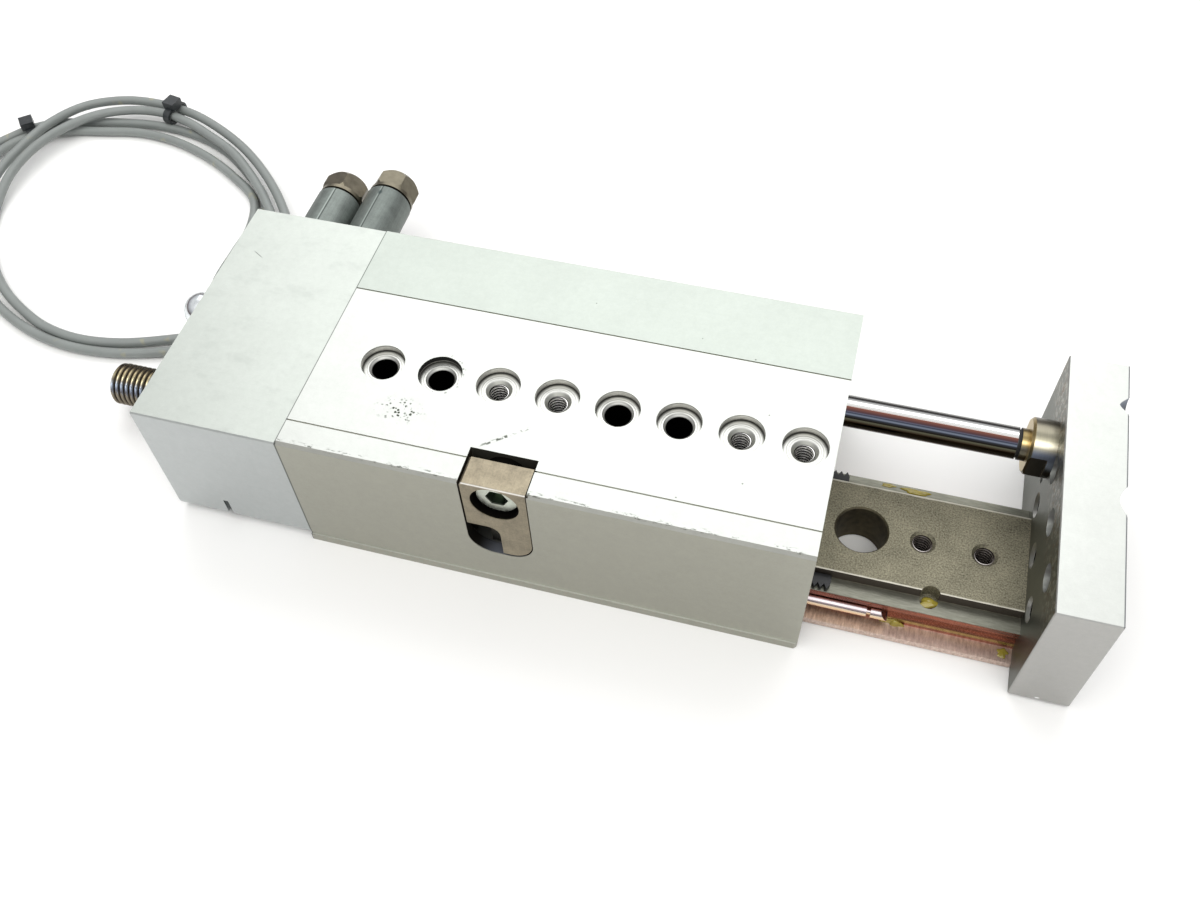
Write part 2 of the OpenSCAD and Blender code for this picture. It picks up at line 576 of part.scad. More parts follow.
module front_plate() color([0.83, 0.85, 0.85]) difference() {
    translate([plate_x, -plate_w / 2, plate_z0])
        chamfered_block([plate_t, plate_w, plate_z1 - plate_z0], plate_edge);
    for (i = [-1:1]) {
        y = guide_y + i * plate_pitch;
        rod_x(tap_d, plate_x - 1, plate_x + plate_t + 1, y, plate_row_z);
        turned_x(y, plate_row_z) translate([0, plate_x - eps])
            polygon([[0, 0], [tap_d / 2 + 0.75, 0], [tap_d / 2, 0.75], [0, 0.75]]);
        rod_x(plate_hole_d, plate_x - 1, plate_x + plate_t + 1, y, plate_row_z + plate_pitch);
    }
    for (p = plate_screw_at) {
        rod_x(m5_clear, plate_x - 1, plate_x + plate_t + 1, p[0], p[1]);
        rod_x(m5_head_d + 0.5, plate_x + plate_t - m5_head_h - 0.5, plate_x + plate_t + 1, p[0], p[1]);
    }
    rod_x(m5_clear, plate_x - 1, plate_x + plate_t + 1, rod_y, rod_z);
    rod_x(m5_head_d + 0.5, plate_x + plate_t - m5_head_h - 0.5, plate_x + plate_t + 1, rod_y, rod_z);
    rod_x(dowel_d, plate_x - 1, plate_x + dowel_depth, rod_y - 2.8, plate_row_z + 3.6);
    // two conical centrings that break the top edge of the outer face
    for (c = centrings) turned_x(c[0], plate_z1 - c[1]) translate([0, plate_x + plate_t])
            polygon([[0, -c[2]], [c[2], 0], [c[2], 1], [0, 1]]);
}

// Cap screw from the outer face of the front plate, seen from the slide side
module plate_screw(y, z) color([0.35, 0.36, 0.38])
    translate([2 * plate_x + plate_t, 0, 0]) mirror([1, 0, 0])
        cap_screw_x(m5_core - 2 * seat, plate_x + 0.5, plate_x + plate_t + plate_reach, y, z,
            m5_head_d, m5_head_h, 4);

module plate_screws() for (p = plate_screw_at) plate_screw(p[0], p[1]);
module rod_screw() plate_screw(rod_y, rod_z);

module piston_rod() color([0.78, 0.78, 0.8]) difference() {
    union() {
        rod_x(rod_d, piston_x0 + piston_l, plate_x - collar_l + eps, rod_y, rod_z);
        rod_x(rod_d - 2, piston_x0, piston_x0 + piston_l + eps, rod_y, rod_z);
        intersection() {
            turned_x(rod_y, rod_z) translate([0, plate_x - collar_l]) polygon([[0, 0],
                [collar_d / 2 - 0.6, 0], [collar_d / 2, 0.6], [collar_d / 2, collar_l], [0, collar_l]]);
            union() {
                translate([plate_x - collar_l - 1, rod_y - collar_af / 2, 0]) cube([collar_l, collar_af, 60]);
                translate([plate_x - 1.6, rod_y - 20, 0]) cube([3, 40, 60]);
            }
        }
    }
    turned_x(rod_y, rod_z) translate([rod_d / 2 - 0.5, plate_x - collar_l - 2.4]) square([1, 0.7]);
    rod_x(m5_core, plate_x - plate_reach - 1, plate_x + 1, rod_y, rod_z);
}

module piston() color([0.72, 0.72, 0.7]) difference() {
    rod_x(bore_d - 2 * run_fit, piston_x0, piston_x0 + piston_l, rod_y, rod_z);
    rod_x(rod_d - 2 + 2 * seat, piston_x0 - 1, piston_x0 + piston_l + 1, rod_y, rod_z);
    for (x = piston_grooves) turned_x(rod_y, rod_z) translate([piston_groove_r, x[0]]) square([bore_d, x[1]]);
}

module groove_ring(x, w, r0, r1) turned_x(rod_y, rod_z) translate([r0, x]) square([r1 - r0, w]);

module piston_seals() color([0.1, 0.1, 0.1]) for (i = [0, 2])
    groove_ring(piston_grooves[i][0] + 0.1, piston_grooves[i][1] - 0.2, piston_groove_r + seat, bore_d / 2 - run_fit);

module piston_magnet() color([0.25, 0.24, 0.23])
    groove_ring(piston_grooves[1][0] + 0.1, piston_grooves[1][1] - 0.2, piston_groove_r + seat, bore_d / 2 - 0.3);

module bearing_cap() color([0.7, 0.6, 0.4]) difference() {
    rod_x(bore_d - 2 * seat, cap_x1 - cap_l, cap_x1 - 0.05, rod_y, rod_z);
    rod_x(rod_d + 2 * run_fit, cap_x1 - cap_l - 1, cap_x1 + 1, rod_y, rod_z);
    rod_x(rod_d + 4 + 2 * seat, cap_x1 - 3, cap_x1 + 1, rod_y, rod_z);
}

module rod_seal() color([0.08, 0.08, 0.08])
    groove_ring(cap_x1 - 2.95, 2.8, rod_d / 2 + run_fit, rod_d / 2 + 2);

module cap_circlip() color([0.3, 0.3, 0.3]) difference() {
    groove_ring(cap_x1, 1, bore_d / 2 - 1.8, bore_d / 2 + 0.6);
    translate([cap_x1 - 1, rod_y - 1.5, rod_z - bore_d]) cube([3, 3, bore_d]);
}

module stop_block() color([0.55, 0.5, 0.45]) {
    y0 = -half_w;
    difference() {
        union() {
            along_y(y0, y0 + stop_t) stop_outline();
            rod_along_y(10, y0 + stop_t - eps, y0 + pocket_d, stop_screw[0], stop_screw[1]);
        }
        rod_along_y(tap_d + 1.4, y0 - 1, y0 + pocket_d + 1, stop_screw[0], stop_screw[1]);
        rod_along_y(stop_cbore_d, y0 - 1, y0 + stop_head_y + 4.6, stop_screw[0], stop_screw[1]);
        translate([stop_screw[0], y0, body_h]) rotate([45, 0, 0])
            cube([stop_l + 2, stop_edge, stop_edge], center = true);
    }
}

module stop_outline() difference() {
    x1 = stop_x + stop_l;
    z1 = body_h;
    z0 = body_h - stop_h;
    main_z = body_h - stop_main_h;
    foot_r = pocket_r - 0.5;
    union() {
        translate([stop_x, main_z]) square([stop_l, stop_main_h]);
        translate([leg_x, z0 + foot_r]) square([leg_w, stop_h - foot_r]);
        intersection() {
            translate([leg_x, z0]) square([leg_w, foot_r + 1]);
            union() {
                translate([x1 - foot_r, z0 + foot_r]) circle(foot_r);
                translate([leg_x - 1, z0]) square([leg_w + 1 - foot_r, foot_r]);
            }
        }
        translate([leg_x - 3, main_z - 3]) difference() {
            square([3.01, 3.01]);
            circle(3);
        }
    }
    translate([stop_x, z1]) rotate(45) square(0.8, center = true);
}

module stop_block_screw() color([0.6, 0.62, 0.64]) difference() {
    y0 = -half_w + stop_head_y;
    union() {
        rod_along_y(10, y0, y0 + 4.5, stop_screw[0], stop_screw[1]);
        rod_along_y(tap_d - 2 * seat, y0 + 4.4, -half_w + pocket_d + 9, stop_screw[0], stop_screw[1]);
    }
    translate([stop_screw[0], y0 - eps, stop_screw[1]]) rotate([-90, 0, 0])
        cylinder(d = 5 / cos(30), h = 2.6, $fn = 6);
}

// Plate on the rear end of the slide; its arm meets the leg of the stop block
module stop_plate() color([0.5, 0.48, 0.45]) difference() {
    along_x(stop_plate_x, slide_x0) polygon([[guide_y - slide_top_w / 2, slide_z0 + 0.7],
        [guide_y + slide_top_w / 2, slide_z0 + 0.7], [guide_y + slide_top_w / 2, slide_z - 0.3],
        [neck_y, slide_z - 0.3], [neck_y, arm_z[1]], [arm_y, arm_z[1]], [arm_y, arm_z[0]],
        [guide_y - slide_top_w / 2, arm_z[0]]]);
    for (p = stop_plate_screw_at) {
        rod_x(4.4, stop_plate_x - 1, slide_x0 + 1, p[0], p[1]);
        turned_x(p[0], p[1]) translate([0, stop_plate_x - eps])
            polygon([[0, 0], [4, 0], [2.2, 1.8], [0, 1.8]]);
    }
}

module stop_plate_screws() color([0.35, 0.36, 0.38]) for (p = stop_plate_screw_at) difference() {
    union() {
        turned_x(p[0], p[1]) translate([0, stop_plate_x + 0.1]) polygon([[0, 0], [3.85, 0], [1.6, 2.25], [0, 2.25]]);
        rod_x(3.2, stop_plate_x + 2, slide_x0 + 10, p[0], p[1]);
    }
    translate([stop_plate_x, p[0], p[1]]) rotate([0, 90, 0]) cylinder(d = 2.5 / cos(30), h = 1.4, $fn = 6);
}

module shock_absorber() color([0.55, 0.53, 0.5]) difference() {
    x0 = -rear_len - shock_out;
    turned_x(guide_y, shock_z) polygon([[0, x0], [shock_d / 2 - 1, x0], [shock_d / 2, x0 + 1],
        [shock_d / 2, -3.6], [shock_d / 2 - 0.6, -3], [0, -3]]);
    translate([x0 - eps, guide_y, shock_z]) rotate([0, 90, 0]) cylinder(d = 5 / cos(30), h = 4, $fn = 6);
    rod_x(plunger_d + 2 * run_fit, -3 - plunger_stroke - 12, 1, guide_y, shock_z);
}

module shock_plunger() color([0.8, 0.8, 0.82])
    turned_x(guide_y, shock_z) polygon([[0, -14.6], [plunger_d / 2, -14.6],
        [plunger_d / 2, -0.25], [plunger_d / 2 - 0.3, 0.05], [0, 0.05]]);

module rear_plug() color([0.75, 0.77, 0.8]) turned_x(plug_at[0], plug_at[1])
    difference() {
        union() {
            translate([0, -rear_len]) square([4, 6.5]);
            translate([0, -rear_len - 2.2]) square([5, 2.2]);
            intersection() {
                translate([0, -rear_len - 2.2]) circle(5);
                translate([0, -rear_len - 8]) square([6, 7]);
            }
        }
        translate([-1, -rear_len - 9]) square([20, 2.3]);
    }

module fitting(i) color([0.66, 0.7, 0.73]) turned_y(-fitting_x - i * fitting_pitch, fitting_z)
    polygon([[0, port_y - 8], [port_thread_d / 2, port_y - 8], [port_thread_d / 2, port_y],
        [fitting_d / 2, port_y], [fitting_d / 2, seal_y[i] - 0.3], [fitting_d / 2 - 0.3, seal_y[i]],
        [cap_pin_d / 2, seal_y[i]], [cap_pin_d / 2, seal_y[i] + cap_pin_l], [0, seal_y[i] + cap_pin_l]]);

module fitting_front() fitting(0);
module fitting_rear() fitting(1);

module fitting_seals() color([0.08, 0.08, 0.08]) for (i = [0:1])
    turned_y(-fitting_x - i * fitting_pitch, fitting_z)
        translate([cap_pin_d / 2 + 0.1, seal_y[i]]) square([cap_af / 2 - 0.3 - cap_pin_d / 2, seal_t]);

// Hexagonal cap with a round collar; its corners are turned off towards both ends
module fitting_cap(i) color([0.6, 0.55, 0.48]) {
    y0 = seal_y[i] + cap_gap;
    y1 = y0 + cap_hex_l;
    neck = y0 + cap_collar_l;
    difference() {
        translate([-fitting_x - i * fitting_pitch, y0, fitting_z]) rotate([-90, cap_turn[i], 0]) {
            cylinder(d = cap_af / cos(30), h = cap_hex_l, $fn = 6);
            cylinder(d = cap_af / cos(30), h = cap_collar_l);
        }
        turned_y(-fitting_x - i * fitting_pitch, fitting_z) {
            translate([0, y0 - 1]) square([cap_pin_d / 2 + run_fit, cap_pin_l + 1 - cap_gap + 0.2]);
            polygon([[cap_af / 2 - 0.1, y1 + eps], [cap_af, y1 + eps], [cap_af, y1 - 8.9]]);
            polygon([[cap_collar_d / 2, y0 - 1], [cap_af, y0 - 1], [cap_af, neck + cap_af],
                [cap_collar_d / 2, neck]]);
        }
    }
}

module fitting_cap_front() fitting_cap(0);
module fitting_cap_rear() fitting_cap(1);

module sensor(i) color([0.12, 0.12, 0.13]) {
    rod_x(sensor_d, sensor_x1[i] - sensor_l, sensor_x1[i], outlet_y[i], outlet_z);
    color([0.6, 0.61, 0.6]) rod_x(cable_d, outlet_x, sensor_x1[i] - sensor_l + eps, outlet_y[i], outlet_z);
}

module sensor_a() sensor(0);
module sensor_b() sensor(1);

module cable_bushings() color([0.1, 0.1, 0.1]) for (y = outlet_y)
    turned_x(y, outlet_z) translate([cable_d / 2 + seat, outlet_x]) {
        square([1.9, 1.8]);
        square([sensor_d / 2 - cable_d / 2 - seat, 7]);
    }

// Sweeps an eight-sided tube along the points of a route, with one ring at each point
module cable_tube(route, d) {
    n = len(route);
    function dir(i) = let (a = route[min(i + 1, n - 1)] - route[max(i - 1, 0)]) a / norm(a);
    function side(i) = let (t = i == 0 ? [-1, 0, 0] : dir(i), s = cross(t, [0, 0, 1])) s / norm(s);
    function up(i) = cross(side(i), i == 0 ? [-1, 0, 0] : dir(i));
    points = [for (i = [0:n - 1], k = [0:7])
        route[i] + d / 2 * (cos(k * 45) * side(i) + sin(k * 45) * up(i))];
    faces = concat([[for (k = [7:-1:0]) k]],
        [for (i = [0:n - 2], k = [0:7])
            [i * 8 + k, i * 8 + (k + 1) % 8, (i + 1) * 8 + (k + 1) % 8, (i + 1) * 8 + k]],
        [[for (k = [0:7]) (n - 1) * 8 + k]]);
    polyhedron(points, faces, convexity = 10);
}

module cable_a() color([0.6, 0.61, 0.6]) cable_tube(cable_a_route, cable_d);
module cable_b() color([0.6, 0.61, 0.6]) cable_tube(cable_b_route, cable_d);

// Outer shape of a spare coil: a ring with rounded edges, lying on the base plane
module coil(at) color([0.6, 0.61, 0.6]) translate([at[0], at[1], 0]) rotate_extrude() {
    r = cable_d / 2;
    translate([coil_r - coil_w / 2, r]) square([coil_w, coil_w - 2 * r]);
    translate([coil_r - coil_w / 2 + r, 0]) square([coil_w - 2 * r, coil_w]);
    for (x = [coil_r - coil_w / 2 + r, coil_r + coil_w / 2 - r], z = [r, coil_w - r])
        translate([x, z]) circle(r);
}

module coil_a() coil(coil_a_at);
module coil_b() coil(coil_b_at);

// Cable tie: a flat band round two cables lying side by side, with its square head on top
module tie(at, turn, gap) color([0.08, 0.08, 0.09]) translate(at) rotate([0, 0, turn]) {
    r = cable_d / 2 + 0.45;
    t = 0.8;
    translate([-1.25, 0, 0]) rotate([90, 0, 90]) linear_extrude(2.5) difference() {
        loop(gap, r + t);
        loop(gap, r);
    }
    translate([-2.2, -gap / 2 + 0.2, r + t - 0.3]) cube([4.4, 4.6, 2.6]);
}

module loop(gap, r) {
    for (s = [-1, 1]) translate([s * gap / 2, 0]) circle(r);
    translate([-gap / 2, -r]) square([gap, 2 * r]);
}

module cable_tie_1() tie(tie_1_at, tie_1_turn, 4.3);
module cable_tie_2() tie(tie_2_at, tie_2_turn, 4);

housing();
rear_block();
rear_screws();
rail_left();
rail_right();
rail_screws();
cage_left();
cage_right();
rollers_left();
rollers_right();
comb_left();
comb_right();
slide_rail();
front_plate();
plate_screws();
rod_screw();
piston_rod();
piston();
piston_seals();
piston_magnet();
bearing_cap();
rod_seal();
cap_circlip();
stop_block();
stop_block_screw();
stop_plate();
stop_plate_screws();
shock_absorber();
shock_plunger();
rear_plug();
fitting_front();
fitting_rear();
fitting_seals();
fitting_cap_front();
fitting_cap_rear();
sensor_a();
sensor_b();
cable_bushings();
cable_a();
cable_b();
coil_a();
coil_b();
cable_tie_1();
cable_tie_2();
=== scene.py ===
"""Looks of a pneumatic slide table: finishes, threads, sensor cables, grease and a plain studio."""

import math

import bpy
import numpy as np
from bpy.props import FloatProperty, FloatVectorProperty, IntProperty, PointerProperty
from mathutils import Matrix, Vector


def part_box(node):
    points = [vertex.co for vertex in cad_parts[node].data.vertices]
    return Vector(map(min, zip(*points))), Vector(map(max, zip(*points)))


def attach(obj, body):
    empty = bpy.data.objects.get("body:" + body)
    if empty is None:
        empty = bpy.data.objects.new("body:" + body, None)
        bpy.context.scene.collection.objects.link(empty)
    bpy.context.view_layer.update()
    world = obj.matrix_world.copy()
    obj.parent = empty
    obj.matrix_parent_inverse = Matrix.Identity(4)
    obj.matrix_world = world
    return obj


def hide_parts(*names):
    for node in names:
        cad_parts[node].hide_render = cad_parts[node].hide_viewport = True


bl_info = {
    "name": "Pneumatic slide table",
    "version": (1, 0, 0),
    "blender": (4, 5, 0),
    "location": "3D View > Sidebar > Slide Table",
    "description": "Finishes, threads, cables and studio for a pneumatic slide table",
    "category": "Object",
}

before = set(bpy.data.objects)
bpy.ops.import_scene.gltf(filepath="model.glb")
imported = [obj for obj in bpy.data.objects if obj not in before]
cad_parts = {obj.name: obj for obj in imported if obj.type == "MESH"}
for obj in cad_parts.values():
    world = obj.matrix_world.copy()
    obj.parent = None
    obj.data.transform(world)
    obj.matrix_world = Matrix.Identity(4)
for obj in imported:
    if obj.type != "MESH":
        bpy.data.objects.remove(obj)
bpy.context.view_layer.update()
MM = 0.001


def box_mm(node):
    """The low and high corners of a CAD node, in millimetres."""
    return tuple(np.array(corner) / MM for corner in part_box(node))


# Corners of the CAD nodes that finishes and made pieces take their places from
BODY_LOW, BODY_HIGH = box_mm("housing")
SLIDE_LOW, SLIDE_HIGH = box_mm("slide_rail")
PLATE_LOW, PLATE_HIGH = box_mm("front_plate")
STOP_LOW, STOP_HIGH = box_mm("stop_block")
SHOCK_LOW, SHOCK_HIGH = box_mm("shock_absorber")
SCREW_LOW, SCREW_HIGH = box_mm("stop_block_screw")
REAR_HIGH = box_mm("rear_block")[1]
ROD_HIGH = box_mm("piston_rod")[1]
FITTING_TOP = box_mm("fitting_front")[1][2]

GUIDE_Y = (SLIDE_LOW[1] + SLIDE_HIGH[1]) / 2
SHOCK_Y, SHOCK_Z = (SHOCK_LOW[1:] + SHOCK_HIGH[1:]) / 2
SCREW_X, SCREW_Z = (SCREW_LOW[::2] + SCREW_HIGH[::2]) / 2
SCREW_R = (SCREW_HIGH[0] - SCREW_LOW[0]) / 2

# Row of counterbored holes on top of the body: the first one's X and the pitch
HOLE_START, HOLE_PITCH = 16.2, 15.0

# The slide's stepped profile: half width of its top, height of its ledges, and how far off its
# centreline the vee grooves begin and the low flange begins
SLIDE_TOP_HALF = 13.5
LEDGE_Z = 9.9
VEE_START, FLANGE_START = 15.5, 17.9

# X between the rear fitting and the front one
FITTINGS_APART_X = -22.6

# Points along the two sensor cables from their outlets to their spare coils, in millimetres
CABLE_A_ROUTE = [
    (-40, 18, 14.5), (-46, 18, 13.5), (-54, 16.5, 8), (-62, 13, 3), (-70, 10.5, 1.6),
    (-83, 7, 1.6), (-96, 6, 1.6), (-108, 7.5, 1.6), (-120, 11.5, 1.6), (-132, 18, 1.6),
    (-143, 27, 1.6), (-152, 39, 1.6), (-157.5, 53, 2.4), (-158.5, 67, 5), (-157, 80, 5.8),
    (-154, 93, 5.8), (-147, 104.5, 5.4), (-135, 111, 5), (-121, 112, 5), (-107.5, 109.6, 5),
    (-95, 104.4, 5), (-83, 97.4, 5), (-72.3, 89, 5), (-62.4, 79.2, 5), (-54.3, 69.2, 4.5),
    (-47.2, 59.6, 3), (-42.8, 50.5, 1.9), (-42, 42, 1.6), (-44.3, 34.9, 1.6), (-50.3, 30.5, 1.6),
    (-57.8, 30.5, 1.6), (-63.9, 34.9, 1.6), (-66.2, 42, 1.6), (-66.2, 54, 1.6), (-66.4, 66, 1.6),
    (-71.2, 78.2, 1.6), (-83, 87, 1.6), (-96, 93.9, 1.6), (-110, 98.5, 1.6), (-124, 99.9, 1.6),
    (-137, 97.6, 1.6), (-146.8, 95.3, 1.9), (-153.8, 92.2, 2.5), (-159.6, 88.4, 2.8),
    (-164.3, 83.3, 2.7), (-167.8, 76.5, 2.2), (-170.4, 67, 1.7), (-171.8, 55.5, 1.6),
    (-172, 43, 1.6),
]
CABLE_B_ROUTE = [
    (-40, 24.5, 14.5), (-46, 24, 13), (-54, 22, 7), (-62, 18.5, 2.6), (-70, 15.5, 1.6),
    (-83, 11, 1.6), (-96, 9.4, 1.6), (-108, 11, 1.6), (-118, 15, 1.6), (-129, 21.5, 1.6),
    (-139, 30.5, 1.6), (-147.5, 42, 1.6), (-152.5, 54, 2.4), (-154, 67, 5), (-152.5, 80, 5.8),
    (-148, 91.5, 5.8), (-140.5, 101, 5.4), (-130.5, 106.5, 5), (-119, 107.8, 5),
    (-107.5, 105.2, 5), (-96, 100, 5), (-85.5, 94.4, 5), (-75.4, 86.2, 5), (-65.6, 76.4, 5),
    (-57.6, 66.6, 4.4), (-50.6, 57.2, 2.9), (-46.1, 49.5, 1.9), (-45.3, 42, 1.6),
    (-47, 36.8, 1.6), (-51.4, 33.6, 1.6), (-56.8, 33.6, 1.6), (-61.2, 36.8, 1.6),
    (-62.9, 42, 1.6), (-62.8, 49, 1.6), (-62.8, 58, 1.6), (-62.9, 68, 1.6), (-67.6, 79.2, 1.6),
    (-78.6, 89.4, 1.6), (-91, 98, 1.6), (-105, 103.2, 1.6), (-120, 104.8, 1.6), (-135, 103, 1.6),
    (-147.5, 99.8, 1.8), (-155.6, 96.5, 2.5), (-162.1, 91.5, 2.8), (-167.3, 85.5, 2.6),
    (-173, 79, 2.1), (-181, 74.2, 1.6), (-192, 71.2, 1.6), (-205, 71, 1.6),
]
COILS = {"a": ((-193, 43), 0.0), "b": ((-205, 92), -math.pi / 2)}

# Camera: its right, up and back directions and its place in metres, and its lens in millimetres
CAMERA = (
    (0.96407687, 0.26399042, -0.02940830),
    (-0.19790780, 0.78773300, 0.58336029),
    (0.17716741, -0.55658403, 0.81168093),
    (0.123587, -0.172018, 0.264012),
)
LENS = 35.261

# Softboxes: name, place, aim and size in metres, the setting that holds the power, and the colour
SOFTBOXES = (
    ("softbox_behind", (-0.02, 0.62, 0.72), (0.06, 0.0, 0.02), (1.1, 0.7), "softbox", (1.0, 1.0, 1.0)),
    ("softbox_overhead", (0.08, -0.42, 1.05), (0.05, 0.0, 0.0), (1.3, 0.9), "overhead", (1.0, 0.99, 0.96)),
)

# Half width of the floor and squares along each side of it
FLOOR_HALF, FLOOR_SQUARES = 6.0, 10

# Core radius of the tapped holes, and for each: body, slot, place across the axis, axis, and start
# and end along it
TAP_CORE = 2.5
TAPPED_HOLES = [
    *(("housing", "anodised_body", (HOLE_START + HOLE_PITCH * i, GUIDE_Y), "z",
       BODY_HIGH[2] - 15.9, BODY_HIGH[2] - 2.85) for i in (2, 3, 6, 7)),
    *(("slide", "blasted_steel", (SLIDE_HIGH[0] - 10.3 - HOLE_PITCH * i, GUIDE_Y), "z",
       0.5, SLIDE_HIGH[2] - 0.75) for i in (0, 1)),
    *(("slide", "anodised_plate", (GUIDE_Y + HOLE_PITCH * i, 17.1), "x",
       PLATE_LOW[0] + 0.8, PLATE_HIGH[0] - 0.1) for i in (-1, 0, 1)),
]

# Drops of grease on the slide: middle, half width along X and Y, and height
# The two in the flange's corner stay clear of the left rail when the slide is in
GREASE = [
    ((150.5, GUIDE_Y + 16.6, 9.9), (3.6, 0.9), 0.55),
    ((143.5, GUIDE_Y + 17.0, 9.9), (1.8, 0.6), 0.3),
    ((157.2, GUIDE_Y - 14.6, 9.4), (2.6, 1.3), 0.7),
    ((150.2, GUIDE_Y - 18.0, 2.3), (2.6, 0.9), 1.5),
    ((176.6, GUIDE_Y - 19.6, 2.3), (1.4, 1.2), 0.25),
]


# ---------------------------------------------------------------- shader maths


class Value:
    """A number or colour on a node sheet. Arithmetic on numbers adds the Math nodes it needs."""

    def __init__(self, sheet, socket):
        self.sheet, self.socket = sheet, socket

    def _math(self, operation, *terms):
        return self.sheet.node("ShaderNodeMath", {"operation": operation}, dict(enumerate(terms)))

    def __add__(self, other):
        return self._math("ADD", self, other)

    __radd__ = __add__

    def __sub__(self, other):
        return self._math("SUBTRACT", self, other)

    def __rsub__(self, other):
        return self._math("SUBTRACT", other, self)

    def __mul__(self, other):
        return self._math("MULTIPLY", self, other)

    __rmul__ = __mul__

    def __truediv__(self, other):
        return self._math("DIVIDE", self, other)

    def __rtruediv__(self, other):
        return self._math("DIVIDE", other, self)

    def __pow__(self, other):
        return self._math("POWER", self, other)

    def __neg__(self):
        return self._math("MULTIPLY", self, -1.0)

    def __abs__(self):
        return self._math("ABSOLUTE", self)

    def min(self, other):
        return self._math("MINIMUM", self, other)

    def max(self, other):
        return self._math("MAXIMUM", self, other)

    def clipped(self):
        """The value kept between 0 and 1."""
        return self.max(0.0).min(1.0)

    def wrapped(self, period):
        """The value folded into one period with 0 in its middle."""
        return self._math("WRAP", self, period / 2, -period / 2)

    def rise(self, low, high):
        """0 below low, 1 above high, and a smooth step between; low may be above high."""
        return self.sheet.node(
            "ShaderNodeMapRange",
            {"interpolation_type": "SMOOTHSTEP"},
            {"Value": self, "From Min": low, "From Max": high, "To Min": 0.0, "To Max": 1.0},
        )

    def within(self, low, high, soft):
        """1 between low and high, falling to 0 over the width soft at each side."""
        return self.rise(low - soft, low) * self.rise(high + soft, high)


class Sheet:
    """A node tree and the one way that nodes are added to it."""

    def __init__(self, tree):
        self.tree = tree

    def feed(self, socket, value):
        """Links a Value to a socket, or sets the socket's own number, vector or colour."""
        if isinstance(value, Value):
            self.tree.links.new(value.socket, socket)
        elif hasattr(value, "__len__") and socket.type == "RGBA" and len(value) == 3:
            socket.default_value = (*value, 1.0)
        else:
            socket.default_value = value

    def node(self, kind, options=None, sockets=None, output=0):
        """Makes a node, sets its options first and then its sockets, and returns one output."""
        made = self.tree.nodes.new(kind)
        for name, value in (options or {}).items():
            if name == "stops":
                ramp = made.color_ramp.elements
                while len(ramp) < len(value):
                    ramp.new(0.5)
                for element, (place, colour) in zip(ramp, value):
                    element.position, element.color = place, (*colour, 1.0)
            else:
                setattr(made, name, value)
        for name, value in (sockets or {}).items():
            self.feed(made.inputs[name], value)
        return Value(self, made.outputs[output])

    def parts(self, vector):
        """The x, y and z parts of a vector."""
        split = self.node("ShaderNodeSeparateXYZ", None, {0: vector}).socket.node
        return tuple(Value(self, part) for part in split.outputs)

    def blend(self, amount, first, second, mode="MIX"):
        """A colour between first and second."""
        return self.node("ShaderNodeMix", {"data_type": "RGBA", "blend_type": mode},
                         {0: amount, 6: first, 7: second}, 2)


